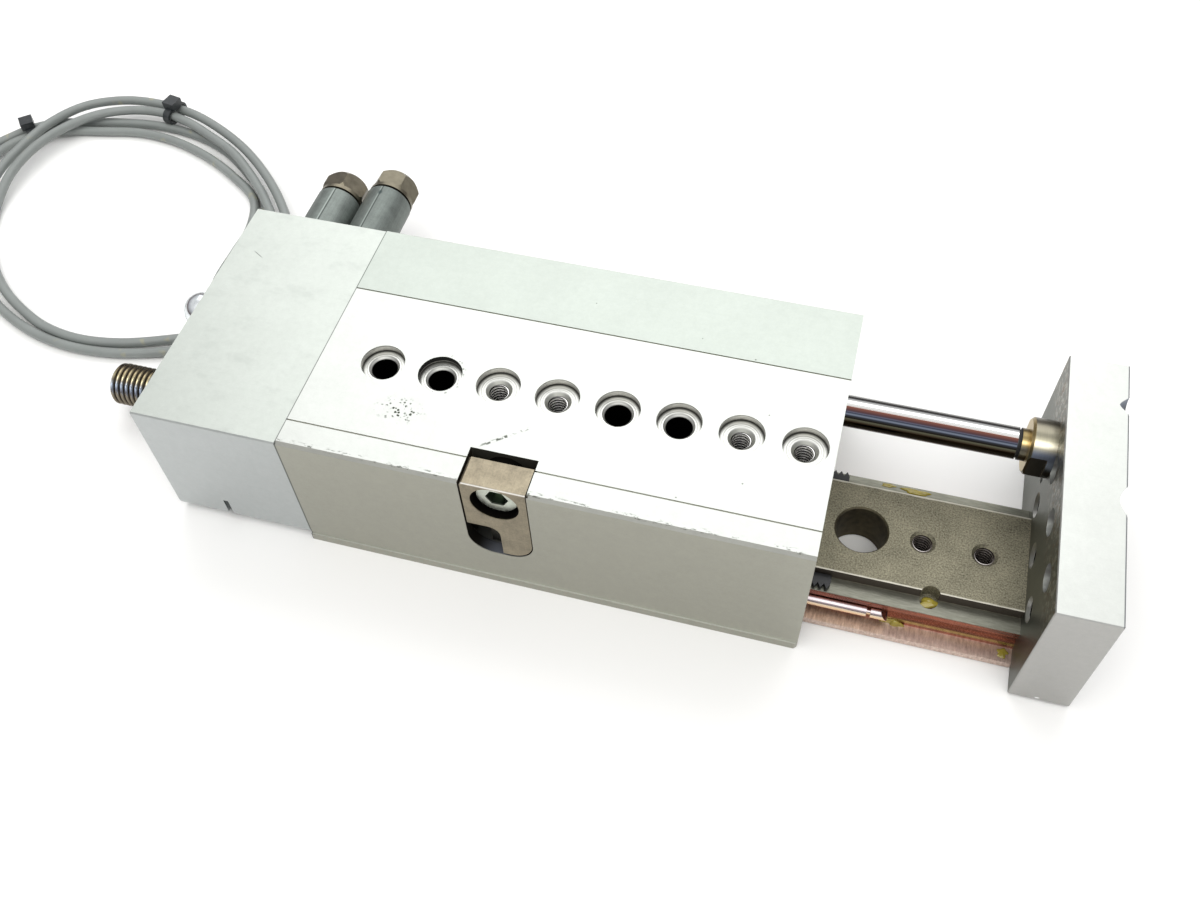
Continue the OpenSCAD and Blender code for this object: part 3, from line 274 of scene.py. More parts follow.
class Finish(Sheet):
    """One finish: a Principled material whose patterns are measured in millimetres."""

    def __init__(self, name, colour, roughness, metallic=0.0, **constants):
        self.material = bpy.data.materials.new(name)
        self.material.use_nodes = True
        super().__init__(self.material.node_tree)
        self.shader = self.tree.nodes["Principled BSDF"]
        self.set(**{"Base Color": colour, "Roughness": roughness, "Metallic": metallic})
        self.set(**{k.replace("_", " "): v for k, v in constants.items()})
        self._place = None

    def set(self, **sockets):
        for name, value in sockets.items():
            self.feed(self.shader.inputs[name], value)

    def place(self):
        """The point's place in the row frame, in millimetres, as a vector."""
        if self._place is None:
            metres = self.node("ShaderNodeTexCoord", output="Object")
            self._place = self.node(
                "ShaderNodeVectorMath", {"operation": "SCALE"}, {0: metres, "Scale": 1 / MM})
        return self._place

    def xyz(self):
        return self.parts(self.place())

    def facing(self):
        """The x, y and z parts of the surface's own direction."""
        return self.parts(self.node("ShaderNodeNewGeometry", output="Normal"))

    def stretched(self, size, turn=(0, 0, 0)):
        """The place divided by a size along each axis, after a turn, for patterns longer one way."""
        return self.node(
            "ShaderNodeMapping",
            {"vector_type": "POINT"},
            {"Vector": self.place(), "Rotation": turn, "Scale": tuple(1.0 / s for s in size)},
        )

    def noise(self, size, detail=2.0, rough=0.5, warp=0.0, turn=(0, 0, 0)):
        """Cloudy noise from 0 to 1 with blotches of the given size in millimetres, or per axis."""
        size = size if hasattr(size, "__len__") else (size, size, size)
        return self.node(
            "ShaderNodeTexNoise",
            {"noise_dimensions": "3D"},
            {"Vector": self.stretched(size, turn), "Scale": 1.0, "Detail": detail,
             "Roughness": rough, "Distortion": warp},
        )

    def lines(self, value, size, detail=2.0):
        """Noise from 0 to 1 that changes only with one value, for turned or drawn lines."""
        return self.node("ShaderNodeTexNoise", {"noise_dimensions": "1D"},
                         {"W": value / size, "Scale": 1.0, "Detail": detail, "Roughness": 0.6})

    def mirror(self, stops):
        """Painted reflection: colour bands round a shaft along X, set by the way the surface faces, standing
        in for how
        polished metal mirrors a bright room: 0 is its upper side behind, 1 its lower side in front."""
        _, fy, fz = self.facing()
        return self.node("ShaderNodeValToRGB", {"stops": stops}, {0: 0.5 - 0.389 * fy - 0.315 * fz})

    def cells(self, size):
        """Distance to the nearest of scattered points about one size apart, as a share of that size."""
        return self.node("ShaderNodeTexVoronoi", {"feature": "F1"},
                         {"Vector": self.stretched((size, size, size)), "Scale": 1.0, "Randomness": 1.0},
                         "Distance")

    def bump(self, height, depth, strength=1.0):
        """Feeds the shader's Normal with a relief of the given depth in millimetres."""
        relief = self.node(
            "ShaderNodeBump", None, {"Height": height, "Distance": depth * MM, "Strength": strength})
        self.set(Normal=relief)

    def near(self, point, reach, squeeze=(1, 1, 1)):
        """1 at a point given in millimetres, falling smoothly to 0 at the reach from it."""
        away = self.node("ShaderNodeVectorMath", {"operation": "SUBTRACT"}, {0: self.place(), 1: point})
        away = self.node("ShaderNodeVectorMath", {"operation": "MULTIPLY"}, {0: away, 1: squeeze})
        length = self.node("ShaderNodeVectorMath", {"operation": "LENGTH"}, {0: away}, "Value")
        return length.rise(reach, reach * 0.3)


def shade(colour, factor):
    """The colour made darker or lighter by one factor."""
    return tuple(c * factor for c in colour)


def wear(node, finish):
    """Gives a CAD node its finish."""
    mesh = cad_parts[node].data
    mesh.materials.clear()
    mesh.materials.append(finish.material)


# ---------------------------------------------------------------- surfaces from numpy


def grid_faces(rows, columns, ring=False):
    """Four-cornered faces over a grid of points whose columns close into a ring; rows may too."""
    r = np.arange(rows if ring else rows - 1)[:, None]
    c = np.arange(columns)[None, :]
    nr, nc = (r + 1) % rows, (c + 1) % columns
    corners = [r * columns + c, r * columns + nc, nr * columns + nc, nr * columns + c]
    return np.stack(corners, -1).reshape(-1, 4)


def add_piece(name, points, faces, finish, body, replaces=(), sharp=35.0, poles=False):
    """Makes a mesh object from a (rows, columns, 3) grid in millimetres and puts it on a CAD body.
    With poles, the first and last row each close on a point at their middle."""
    rows, columns = points.shape[:2]
    corners = points.reshape(-1, 3)
    polygons = faces.tolist()
    if poles:
        ends = np.stack([points[0].mean(0), points[-1].mean(0)])
        corners = np.vstack([corners, ends])
        c = np.arange(columns)
        n = (c + 1) % columns
        first, last = rows * columns, rows * columns + 1
        polygons += np.stack([n, c, np.full(columns, first)], -1).tolist()
        base = (rows - 1) * columns
        polygons += np.stack([base + c, base + n, np.full(columns, last)], -1).tolist()
    mesh = bpy.data.meshes.new(name)
    mesh.from_pydata((corners * MM).tolist(), [], polygons)
    mesh.validate()
    if signed_volume(mesh) < 0:
        mesh.flip_normals()
    mesh.polygons.foreach_set("use_smooth", np.ones(len(mesh.polygons), bool))
    mesh.set_sharp_from_angle(angle=math.radians(sharp))
    mesh.materials.append(finish.material)
    obj = bpy.data.objects.new(name, mesh)
    bpy.context.scene.collection.objects.link(obj)
    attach(obj, body)
    if replaces:
        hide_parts(*replaces)
    return obj


def signed_volume(mesh):
    """Sum of the tetrahedra from the origin to each triangle: above 0 where faces point outwards."""
    mesh.calc_loop_triangles()
    corners = np.zeros(len(mesh.vertices) * 3)
    mesh.vertices.foreach_get("co", corners)
    tris = np.zeros(len(mesh.loop_triangles) * 3, np.int32)
    mesh.loop_triangles.foreach_get("vertices", tris)
    a, b, c = corners.reshape(-1, 3)[tris.reshape(-1, 3)].transpose(1, 0, 2)
    return float(np.einsum("ij,ij->i", a, np.cross(b, c)).sum())


def smooth_line(points, step):
    """A curve through the points: each span is a cubic whose ends lean along the neighbours' chord
    (Catmull-Rom), then points are taken every `step` millimetres along it."""
    p = np.array(points, float)
    p = np.vstack([2 * p[0] - p[1], p, 2 * p[-1] - p[-2]])
    t = np.linspace(0, 1, 24, endpoint=False)[None, :, None]
    a, b, c, d = (p[i:len(p) - 3 + i, None] for i in range(4))
    line = 0.5 * (2 * b + (c - a) * t + (2 * a - 5 * b + 4 * c - d) * t**2
                  + (3 * b - a - 3 * c + d) * t**3)
    line = np.vstack([line.reshape(-1, 3), p[-2]])
    return even_steps(line, step)


def even_steps(line, step, length=None):
    """The same line with a point every `step` millimetres, cut at `length` where it is given."""
    along = np.r_[0, np.cumsum(np.linalg.norm(np.diff(line, axis=0), axis=1))]
    total = along[-1] if length is None else length
    if total > along[-1] + 1e-6:
        raise ValueError("the line is shorter than the length asked for")
    at = np.linspace(0, total, max(2, int(round(total / step)) + 1))
    return np.stack([np.interp(at, along, line[:, k]) for k in range(3)], -1)


def coil_line(centre, start, turns, radii, heights):
    """A neat round coil: turn by turn the radius steps through `radii` in one layer and back through
    them in the next one up, each step spread smoothly over the last 30 per cent of its turn."""
    angle = np.linspace(0, turns * 2 * math.pi, int(turns * 90))
    turn = np.floor(angle / (2 * math.pi)).astype(int)
    part = np.clip((angle / (2 * math.pi) - turn - 0.7) / 0.3, 0, 1)
    ease = part * part * (3 - 2 * part)
    per = len(radii)

    def at(k):
        layer, place = k // per, k % per
        inwards = np.where(layer % 2, per - 1 - place, place)
        return np.array(radii)[inwards], np.array(heights)[layer % len(heights)]

    r0, z0 = at(turn)
    r1, z1 = at(turn + 1)
    climb = (z1 != z0) * np.sin(math.pi * ease) * 1.4
    outer = np.where(r0 > np.mean(radii), 1.0, -1.0)
    r = r0 + (r1 - r0) * ease + climb * outer
    z = z0 + (z1 - z0) * ease
    x, y = centre[0] + r * np.cos(start - angle), centre[1] + r * np.sin(start - angle)
    return np.stack([x, y, z], -1)


def tube_grid(line, radius, sides):
    """A round tube along a line: at each point a circle stands square to the line's direction."""
    ahead = np.gradient(line, axis=0)
    ahead /= np.linalg.norm(ahead, axis=1)[:, None]
    across = np.cross(ahead, [0, 0, 1.0])
    across /= np.linalg.norm(across, axis=1)[:, None]
    up = np.cross(across, ahead)
    a = np.linspace(0, 2 * math.pi, sides, endpoint=False)[None, :, None]
    return line[:, None] + radius * (np.cos(a) * across[:, None] + np.sin(a) * up[:, None])


def turned_grid(x, radius, y, z, sides):
    """A form turned about an axis along X; radius has one row per place and may vary round the turn."""
    a = np.linspace(0, 2 * math.pi, sides, endpoint=False)
    radius = np.broadcast_to(radius, (len(x), sides))
    return np.stack([np.broadcast_to(np.array(x, float)[:, None], radius.shape),
                     y + radius * np.cos(a), z + radius * np.sin(a)], -1)


def hexagon(flats, sides):
    """Radius round a hexagon of the given width across flats."""
    a = np.linspace(0, 2 * math.pi, sides, endpoint=False)
    return flats / 2 / np.cos((a + math.pi / 6) % (math.pi / 3) - math.pi / 6)


def thread_wave(along, sides, pitch, sharpness=1.0):
    """Depth from 0 at the crest to 1 at the root of a one-start screw thread: a rounded saw wave of
    the distance along the axis less the share of a turn."""
    a = np.linspace(0, 1, sides, endpoint=False)[None, :]
    phase = (np.array(along)[:, None] / pitch - a) % 1.0
    return np.clip(1.15 * np.abs(2 * phase - 1) ** sharpness - 0.08, 0, 1)


def blob_grid(centre, size, rise, seed, sides=36, rows=9):
    """A low drop: its outline is an ellipse with three slow waves in it, and its height falls from
    the middle to the rim as the root of one less the square of the distance."""
    wave = np.random.default_rng(seed)
    a = np.linspace(0, 2 * math.pi, sides, endpoint=False)
    rim = 1 + sum(wave.uniform(0.05, 0.22) * np.sin(k * a + wave.uniform(0, 6.28)) for k in (2, 3, 5))
    v = np.linspace(0.04, 1, rows)[:, None]
    lump = 1 + 0.25 * np.sin(3 * a + wave.uniform(0, 6)) * v
    x = centre[0] + size[0] * rim * v * np.cos(a)
    y = centre[1] + size[1] * rim * v * np.sin(a)
    top = np.stack([x, y, centre[2] + rise * np.sqrt(1 - v**2 * 0.999) * lump], -1)
    under = np.stack([x, y, np.full_like(x, centre[2] - 0.05)], -1)[::-1]
    return np.vstack([top, under])


# ---------------------------------------------------------------- finishes


# The dark line where the body and the rear block meet
JOINT_GREY = (0.05, 0.055, 0.05)


def anodised(name, colour, settings, shaded_side_colour):
    """Satin anodised aluminium: fine grain, faint draw lines along X, cloudy tone, and on the faces that
    stand upright a darker tone than on the flat tops, as painted shade."""
    f = Finish(name, colour, 0.42, 1.0)
    facing = f.facing()
    grain = f.noise(0.35, 2, 0.7)
    draw = f.noise((60, 0.35, 0.35), 3, 0.6)
    cloud = f.noise(14, 3, 0.55)
    mottle = f.noise(1.9, 4, 0.72)
    # Painted shade: the upright faces take the darker side colour, the flat tops the top colour.
    base = f.blend(facing[2].rise(0.5, 0.95), shaded_side_colour, colour)
    tone = (0.94 + 0.06 * cloud + 0.1 * (grain - 0.5) + 0.04 * (draw - 0.5)
            + 0.16 * (mottle - 0.5))
    grey = f.node("ShaderNodeCombineColor", None, {0: tone, 1: tone * 1.004, 2: tone * 0.99})
    tinted = f.blend(1.0, base, grey, "MULTIPLY")
    f.set(**{"Base Color": tinted, "Roughness": 0.36 + 0.12 * cloud + 0.05 * (grain - 0.5)})
    f.bump(grain * 0.7 + draw * 0.3, 0.012, settings.grain_relief)
    return f, tinted, f.xyz(), facing, cloud


def counterbores(f, base, x, deep, radius, upright):
    """Colours the hole row: streaked walls that darken downwards as painted shade, with painted dark lines of
    shade at their rim and foot, pale floors with fine rings and painted shade where they meet the wall, and
    painted near-black shade down the through bores of every hole that isn't tapped."""
    bore = radius.rise(5.75, 5.6) * deep.rise(0.03, 0.08) * deep.rise(3.6, 3.4)
    streaks = f.lines(deep, 0.2) + 0.5 * (f.noise((1.6, 1.6, 0.4), 3, 0.7) - 0.5)
    # Painted shade: the walls darken downwards, with dark lines at their rim and at their foot.
    wall_tone = f.blend((streaks * 1.6 - 0.3 + 0.12 * deep).clipped(), (0.9, 0.89, 0.85), (0.3, 0.29, 0.27))
    shade_lines = (deep.rise(0.2, 0.1) + deep.rise(1.6, 1.8)).min(1.0)
    wall_tone = f.blend(shade_lines * 0.9, wall_tone, (0.03, 0.03, 0.028))
    floor_tone = f.blend((f.lines(radius, 0.3) * 1.8 - 0.4).clipped(), (0.36, 0.36, 0.33), (0.8, 0.81, 0.78))
    # Painted shade in the corner where each floor meets its wall.
    floor_tone = f.blend(radius.rise(5.0, 5.2), floor_tone, (0.10, 0.10, 0.09))
    wall = bore * upright * radius.rise(4.9, 5.1)
    seat = bore * (1 - upright) * radius.rise(3.0, 3.2)
    toned = f.blend(wall * 0.95, base, wall_tone)
    toned = f.blend(seat * 0.9, toned, floor_tone)
    order = (x - (HOLE_START - HOLE_PITCH / 2)) / HOLE_PITCH
    tapped = order.within(2.0, 4.0, 0.01) + order.rise(6.0, 6.01)
    # Painted shade: the through bores are coloured near black.
    shaft = radius.rise(3.4, 3.3) * deep.rise(2.4, 2.7)
    return f.blend(shaft * (1 - tapped), toned, (0.012, 0.012, 0.011)), bore


def top_marks(f, x, y, radius):
    """Where the body's top is marked: a patch of grit, a dirty rim, a rubbed line beside the stop,
    scattered specks and a worn front edge."""
    top_z = BODY_HIGH[2]
    bits = f.cells(0.85).rise(0.42, 0.3)
    patch = f.near((25.5, GUIDE_Y - 13.0, top_z), 6.0, (0.8, 1.3, 1)) * f.noise(1.6, 2).rise(0.44, 0.54)
    rim = (radius.within(5.5, 6.3, 0.3) * f.noise(1.3, 2).rise(0.5, 0.6)
           * f.near((HOLE_START + HOLE_PITCH, GUIDE_Y, top_z), 9.0))
    trail = f.near((52.5, GUIDE_Y - 14.5, top_z), 8.0, (0.75, 1.0, 1))
    line = abs((x - 52.5) * 0.62 - (y - GUIDE_Y + 14.5) * 0.78).rise(0.55, 0.2)
    rub = trail * line * f.noise(0.9, 2).rise(0.46, 0.6)
    worn = (y.rise(BODY_LOW[1] + 2.6, BODY_LOW[1] + 1.4)
            * f.noise((2.2, 0.7, 0.7), 3, 0.7).rise(0.56, 0.64))
    specks = f.cells(9.0).rise(0.035, 0.02)
    return (patch * bits + rim * bits + rub * 0.8 + specks * 0.6 + worn * 0.7).min(1.0)


def stop_pocket(f, x, y, z, fz, top):
    """The film of oil and painted shade in the stop pocket: where it lies, and its colour, near black low
    down and browner higher up, with painted light where the floor of the pocket faces up."""
    pocket = (x.within(STOP_LOW[0] - 0.6, STOP_HIGH[0] + 0.6, 0.05)
              * y.rise(BODY_LOW[1] + 11.0, BODY_LOW[1] + 10.5) * (1 - top))
    film = pocket * y.rise(BODY_LOW[1] + 0.5, BODY_LOW[1] + 0.6) * z.rise(13.2, 13.4)
    # Near black low down and browner higher up: oil and painted shade.
    tone = f.blend(f.noise((2, 2, 5), 3) * z.rise(24.0, 31.0), (0.012, 0.010, 0.008), (0.085, 0.07, 0.045))
    # Painted light: a faint bluish patch where the pocket floor faces up.
    painted_light = (fz.rise(0.2, 0.8) * x.rise(STOP_LOW[0] + 1.0, STOP_LOW[0] + 7.0)
            * y.rise(BODY_LOW[1] + 7.0, BODY_LOW[1] + 2.0) * z.rise(16.0, 15.0))
    return film, f.blend(painted_light, tone, (0.17, 0.185, 0.22))


def body_finish(settings):
    """The cylinder body: anodised with painted shade on its upright faces, a little greyer beyond the rear
    groove, with small dark specks and scuffs on the top, turned counterbores with painted shade in them,
    black residue in the second one, painted shade inside the channel and an oily brown film in the stop
    pocket, darkened by painted shade."""
    f, base, (x, y, z), (_, _, fz), cloud = anodised(
        "anodised_body", settings.body_top, settings, settings.body_side_shaded)
    deep = BODY_HIGH[2] - z
    top = deep.rise(0.4, 0.1)
    upright = 1 - fz.rise(0.3, 0.6)
    behind = y.rise(GUIDE_Y + 22.0, GUIDE_Y + 22.2) * top
    base = f.blend(behind, base, (0.77, 0.81, 0.78), "MULTIPLY")

    along, across = (x - HOLE_START).wrapped(HOLE_PITCH), y - GUIDE_Y
    radius = (along * along + across * across) ** 0.5
    soiled, bore = counterbores(f, base, x, deep, radius, upright)
    residue = (x.within(24.4, 38.0, 0.05) * bore * upright * deep.within(0.0, 1.4, 0.2)
               * (across + 3.2 + 2.0 * f.noise(1.2, 2)).rise(0.0, 1.0))
    marks = top_marks(f, x, y, radius) * top
    film, oil_and_shade_tone = stop_pocket(f, x, y, z, fz, top)
    # Painted shade inside the channel under the slide.
    inside = z.rise(13.6, 13.3) * abs(across).rise(26.3, 26.0) * (1 - film)
    joint = x.rise(BODY_LOW[0] + 0.28, BODY_LOW[0] + 0.14)
    soiled = f.blend(film * 0.97, soiled, oil_and_shade_tone)
    soiled = f.blend(inside * 0.8, soiled, (0.09, 0.085, 0.07))
    soiled = f.blend(marks, soiled, (0.07, 0.08, 0.06))
    soiled = f.blend(residue * 0.95, soiled, (0.012, 0.012, 0.012))
    soiled = f.blend(joint * 0.75, soiled, JOINT_GREY)
    f.set(**{"Base Color": soiled,
             "Roughness": 0.40 + 0.12 * (cloud - 0.5) + 0.3 * (marks + residue + film).min(1.0)})
    return f


def rear_finish(settings):
    """The rear block: the same anodising, with painted shade, bluer, on its upright faces, a faint scratch,
    dots, a smudge and a painted highlight along its foot."""
    f, base, (x, y, z), (_, fy, _), _ = anodised(
        "anodised_rear", settings.rear_top, settings, settings.rear_side_shaded)
    top = z.rise(REAR_HIGH[2] - 0.3, REAR_HIGH[2] - 0.1)
    scratch = (abs((x + 30.5) * 0.5 + (y - 20.0) * 0.85).rise(0.16, 0.06)
               * f.near((-30.5, 20.0, REAR_HIGH[2]), 2.4))
    dots = f.cells(11.0).rise(0.03, 0.018)
    soiled = f.blend((scratch * 0.75 + dots * 0.5).min(1.0) * top, base, (0.1, 0.11, 0.1))
    smudge = f.noise((9, 5, 5), 4, 0.65, turn=(0, 0, 0.6)).rise(0.5, 0.75) * top
    soiled = f.blend(smudge * 0.22, soiled, shade(settings.rear_top, 0.6))
    joint = x.rise(REAR_HIGH[0] - 0.28, REAR_HIGH[0] - 0.14)
    soiled = f.blend(joint * 0.75, soiled, JOINT_GREY)
    # Painted highlight: a bright bluish line along the foot of the upright faces.
    foot = z.rise(0.55, 0.35) * (-fy).rise(0.3, 0.7)
    soiled = f.blend(foot * 0.8, soiled, (0.85, 0.9, 1.0))
    f.set(**{"Base Color": soiled})
    return f


def plate_finish(settings):
    """The front plate: anodised with painted shade on its upright faces, a milled, darker inner face that has
    pale and brown spots near its top, painted shade in its notches, a dark outer rim, and one bright chip at
    the foot."""
    f, base, (x, y, z), (fx, _, fz), _ = anodised(
        "anodised_plate", shade(settings.body_top, 1.05), settings, settings.plate_side_shaded)
    inner = (-fx).rise(0.6, 0.95)
    milled = f.noise((2.5, 0.5, 9.0), 3, 0.6)
    dark = f.blend(milled, settings.plate_inner, shade(settings.plate_inner, 1.35))
    high = z.rise(PLATE_HIGH[2] - 16, PLATE_HIGH[2] - 5)
    pale = f.noise(1.7, 4, 0.65).rise(0.48, 0.6) * high
    dark = f.blend(pale * 0.6, dark, (0.42, 0.41, 0.36))
    spots = f.noise(1.1, 3, 0.6).rise(0.54, 0.62) * high
    dark = f.blend(spots * 0.8, dark, (0.12, 0.07, 0.035))
    faced = f.blend(inner, base, dark)
    chip = f.near((PLATE_LOW[0] + 6.6, PLATE_LOW[1], PLATE_LOW[2] + 1.0), 0.55, (0.7, 1, 1.2))
    faced = f.blend(chip, faced, (0.95, 0.95, 0.95))
    # Painted shade in the notches of the plate's top.
    notch_shade = (x.rise(PLATE_HIGH[0] - 6.2, PLATE_HIGH[0] - 6.0)
             * z.rise(PLATE_HIGH[2] - 9.0, PLATE_HIGH[2] - 8.6)
             * abs(y).rise(PLATE_HIGH[1] - 1.0, PLATE_HIGH[1] - 1.5)
             * fz.rise(0.97, 0.9) * fx.rise(0.97, 0.9) * (fx + fz).rise(0.2, 0.4))
    faced = f.blend(notch_shade, faced, (0.16, 0.18, 0.215))
    rim = x.rise(PLATE_HIGH[0] - 0.45, PLATE_HIGH[0] - 0.3) * fz.rise(0.3, 0.6)
    faced = f.blend(rim * 0.8, faced, (0.16, 0.17, 0.18))
    f.set(**{"Base Color": faced})
    return f


def slide_finish(settings):
    """The slide: a blasted brown-grey top with a painted highlight along its step edge and painted shade on
    the step face, ground ledges with slanting marks, a ground flange tinted pink by a painted reflection,
    red-brown old oil with a painted red reflection in the vee grooves, and painted shade in the access bore."""
    f = Finish("blasted_slide", settings.slide_top, 0.5, 0.9)
    x, y, z = f.xyz()
    off = abs(y - GUIDE_Y)
    flat = f.facing()[2].rise(0.6, 0.95)
    grit = f.noise(0.42, 3, 0.75)
    cloud = f.noise(7, 3, 0.6)
    slant = f.noise((3.0, 0.35, 3.0), 3, 0.65, turn=(0, 0, math.radians(28)))

    colour = f.blend((grit * 2.2 - 0.6 + 0.5 * (cloud - 0.5)).clipped(),
                     shade(settings.slide_top, 0.3), shade(settings.slide_top, 1.75))
    # Painted highlight along the slide's top step edge.
    wavy = off + 0.5 * (f.noise((3.5, 1, 1), 2) - 0.5)
    rim = wavy.rise(12.95, 13.3) * z.rise(SLIDE_HIGH[2] - 0.3, SLIDE_HIGH[2] - 0.05)
    colour = f.blend(rim, colour, (0.62, 0.6, 0.52))

    on_ledge = (off.rise(SLIDE_TOP_HALF, SLIDE_TOP_HALF + 0.1)
                * z.within(LEDGE_Z - 0.2, LEDGE_Z + 0.2, 0.1))
    colour = f.blend(on_ledge, colour, f.blend(slant, (0.1, 0.1, 0.075), (0.32, 0.32, 0.27)))

    # The flange's pink is a painted reflection of warm surroundings on ground steel.
    on_flange = z.rise(2.6, 2.4) * off.rise(FLANGE_START - 0.2, FLANGE_START)
    scales = (f.noise((0.6, 2.5, 1), 3, 0.75) * 1.5 - 0.25).clipped()
    colour = f.blend(on_flange, colour, f.blend(scales, (0.33, 0.22, 0.175), (0.92, 0.77, 0.68)))

    # Painted shade on the upright step face below the top edge.
    step = ((1 - flat) * z.rise(LEDGE_Z - 0.1, LEDGE_Z + 0.1)
            * off.rise(SLIDE_TOP_HALF - 0.3, SLIDE_TOP_HALF - 0.1))
    colour = f.blend(step, colour, (0.1, 0.085, 0.07))

    # In the vee grooves: red-brown old oil together with a painted reflection of something red.
    vee = ((1 - off.rise(FLANGE_START, FLANGE_START + 0.2)) * off.rise(VEE_START - 0.1, VEE_START + 0.1)
           * z.within(2.35, LEDGE_Z - 0.1, 0.05) * (1 - on_ledge))
    oil = f.blend((f.noise((8, 1, 0.7), 3) * 1.8 - 0.4).clipped(), (0.05, 0.012, 0.006), (0.36, 0.08, 0.03))
    oil = f.blend(z.within(3.6, 4.4, 0.3) * 0.8, oil, (0.3, 0.22, 0.05))
    colour = f.blend(vee * 0.92, colour, oil)

    # Painted shade: the access bore is coloured near black.
    access = x.within(SLIDE_HIGH[0] - 47.3, SLIDE_HIGH[0] - 33.3, 0.1) * off.rise(7.0, 6.9) * (1 - flat)
    bore_shade = f.blend(f.noise(1.8, 2), (0.012, 0.010, 0.006), (0.12, 0.095, 0.05))
    colour = f.blend(access * 0.92, colour, bore_shade)

    polished = on_ledge * 0.22 + on_flange * 0.18 + vee * 0.34
    f.set(**{"Base Color": colour, "Roughness": 0.52 + 0.18 * grit - polished, "Metallic": 0.92 - 0.25 * vee})
    f.bump(grit * (1 - on_ledge) * (1 - vee) + slant * on_ledge * 0.5, 0.05, settings.grain_relief)
    return f


def ground_finish(name, colour, rough=0.28, along=(0.3, 6.0, 0.3), dark=0.6):
    """Ground or turned steel: fine parallel marks, lighter and darker streaks and a thin oil haze."""
    f = Finish(name, colour, rough, 1.0)
    marks = f.noise(along, 3, 0.65)
    cloud = f.noise(5, 2)
    tone = f.blend(0.6 * marks + 0.4 * cloud, shade(colour, dark), colour)
    f.set(**{"Base Color": tone, "Roughness": rough + 0.14 * (cloud - 0.5) + 0.1 * (marks - 0.5)})
    f.bump(marks, 0.004, 0.6)
    return f


def cage_finish():
    """The roller cages: bright steel with a painted reflection, purple-grey on the upper side and straw-gold
    on the lower side.
    """
    f = Finish("polished_cage", (0.7, 0.62, 0.6), 0.16, 1.0)
    streak = f.noise((9, 0.4, 0.4), 2)
    # Painted reflection: purple-grey on the upper side, straw-gold on the lower side.
    warm = f.blend(f.facing()[2].rise(0.75, 0.2), (0.36, 0.3, 0.33), (0.78, 0.56, 0.32))
    colour = f.blend(streak * 0.4, warm, (0.85, 0.8, 0.76))
    f.set(**{"Base Color": colour, "Roughness": 0.14 + 0.12 * streak})
    return f


def stop_finish(settings):
    """The stop block: sintered steel with a warm grey-brown skin, cloudy and pitted, with painted shade on
    its upright faces, a painted highlight along its upper front edge and painted near-black shade in the bore
    round its screw."""
    f = Finish("stop_steel", settings.stop_colour, 0.42, 0.85)
    x, y, z = f.xyz()
    fz = f.facing()[2]
    cloud = f.noise(3.2, 4, 0.62)
    fine = f.noise(0.5, 2, 0.6)
    scratch = f.noise((0.35, 4, 4), 3, 0.6, turn=(0, 0, 0.7))
    colour = f.blend((cloud * 1.4 - 0.35 + 0.6 * (fine - 0.5) + 0.35 * scratch).clipped(),
                     shade(settings.stop_colour, 0.55), shade(settings.stop_colour, 1.4))
    pits = f.cells(3.4).rise(0.11, 0.06)
    colour = f.blend(pits * 0.5, colour, (0.14, 0.12, 0.09))
    # Painted shade on the upright faces.
    colour = f.blend((1 - fz.rise(0.3, 0.8)) * 0.25, colour, (0.1, 0.085, 0.06))
    # Painted highlight along the upper front edge.
    edge = (z.rise(STOP_HIGH[2] - 0.4, STOP_HIGH[2] - 0.15)
            * y.rise(STOP_LOW[1] + 0.4, STOP_LOW[1] + 0.15))
    colour = f.blend(edge, colour, (1.0, 0.98, 0.92))
    side, up = x - SCREW_X, z - SCREW_Z
    # Painted shade: near black in the bore round the screw head.
    bore = ((side * side + up * up).rise((SCREW_R + 1.2) ** 2, (SCREW_R + 1.0) ** 2)
            * y.rise(STOP_LOW[1] + 0.1, STOP_LOW[1] + 0.3))
    colour = f.blend(bore, colour, (0.008, 0.007, 0.006))
    f.set(**{"Base Color": colour, "Roughness": 0.38 + 0.16 * cloud + 0.3 * bore,
             "Metallic": 0.85 + 0.15 * bore})
    f.bump(fine * 0.6 + cloud * 0.4 - pits * 0.4, 0.02, settings.grain_relief)
    return f


def screw_finish():
    """The clamp screw of the stop: pale zinc plating, with painted shade, dark green and darker to one side,
    in the recess.
    """
    f = Finish("zinc_screw", (0.72, 0.76, 0.7), 0.3, 0.9)
    x, y, z = f.xyz()
    side, up = x - SCREW_X, z - SCREW_Z
    cloud = f.noise(1.6, 3, 0.6)
    tone = f.blend(cloud, (0.42, 0.45, 0.38), (0.74, 0.78, 0.7))
    # Painted shade in the recess, dark green and darker to one side.
    recess = ((side * side + up * up).rise((SCREW_R * 0.75) ** 2, (SCREW_R * 0.7) ** 2)
              * y.rise(SCREW_LOW[1] + 0.15, SCREW_LOW[1] + 0.5))
    green = f.blend(side.rise(0.2, 1.2), (0.10, 0.14, 0.09), (0.012, 0.02, 0.012))
    tone = f.blend(recess * 0.95, tone, green)
    f.set(**{"Base Color": tone, "Roughness": 0.3 + 0.15 * (cloud - 0.5)})
    return f


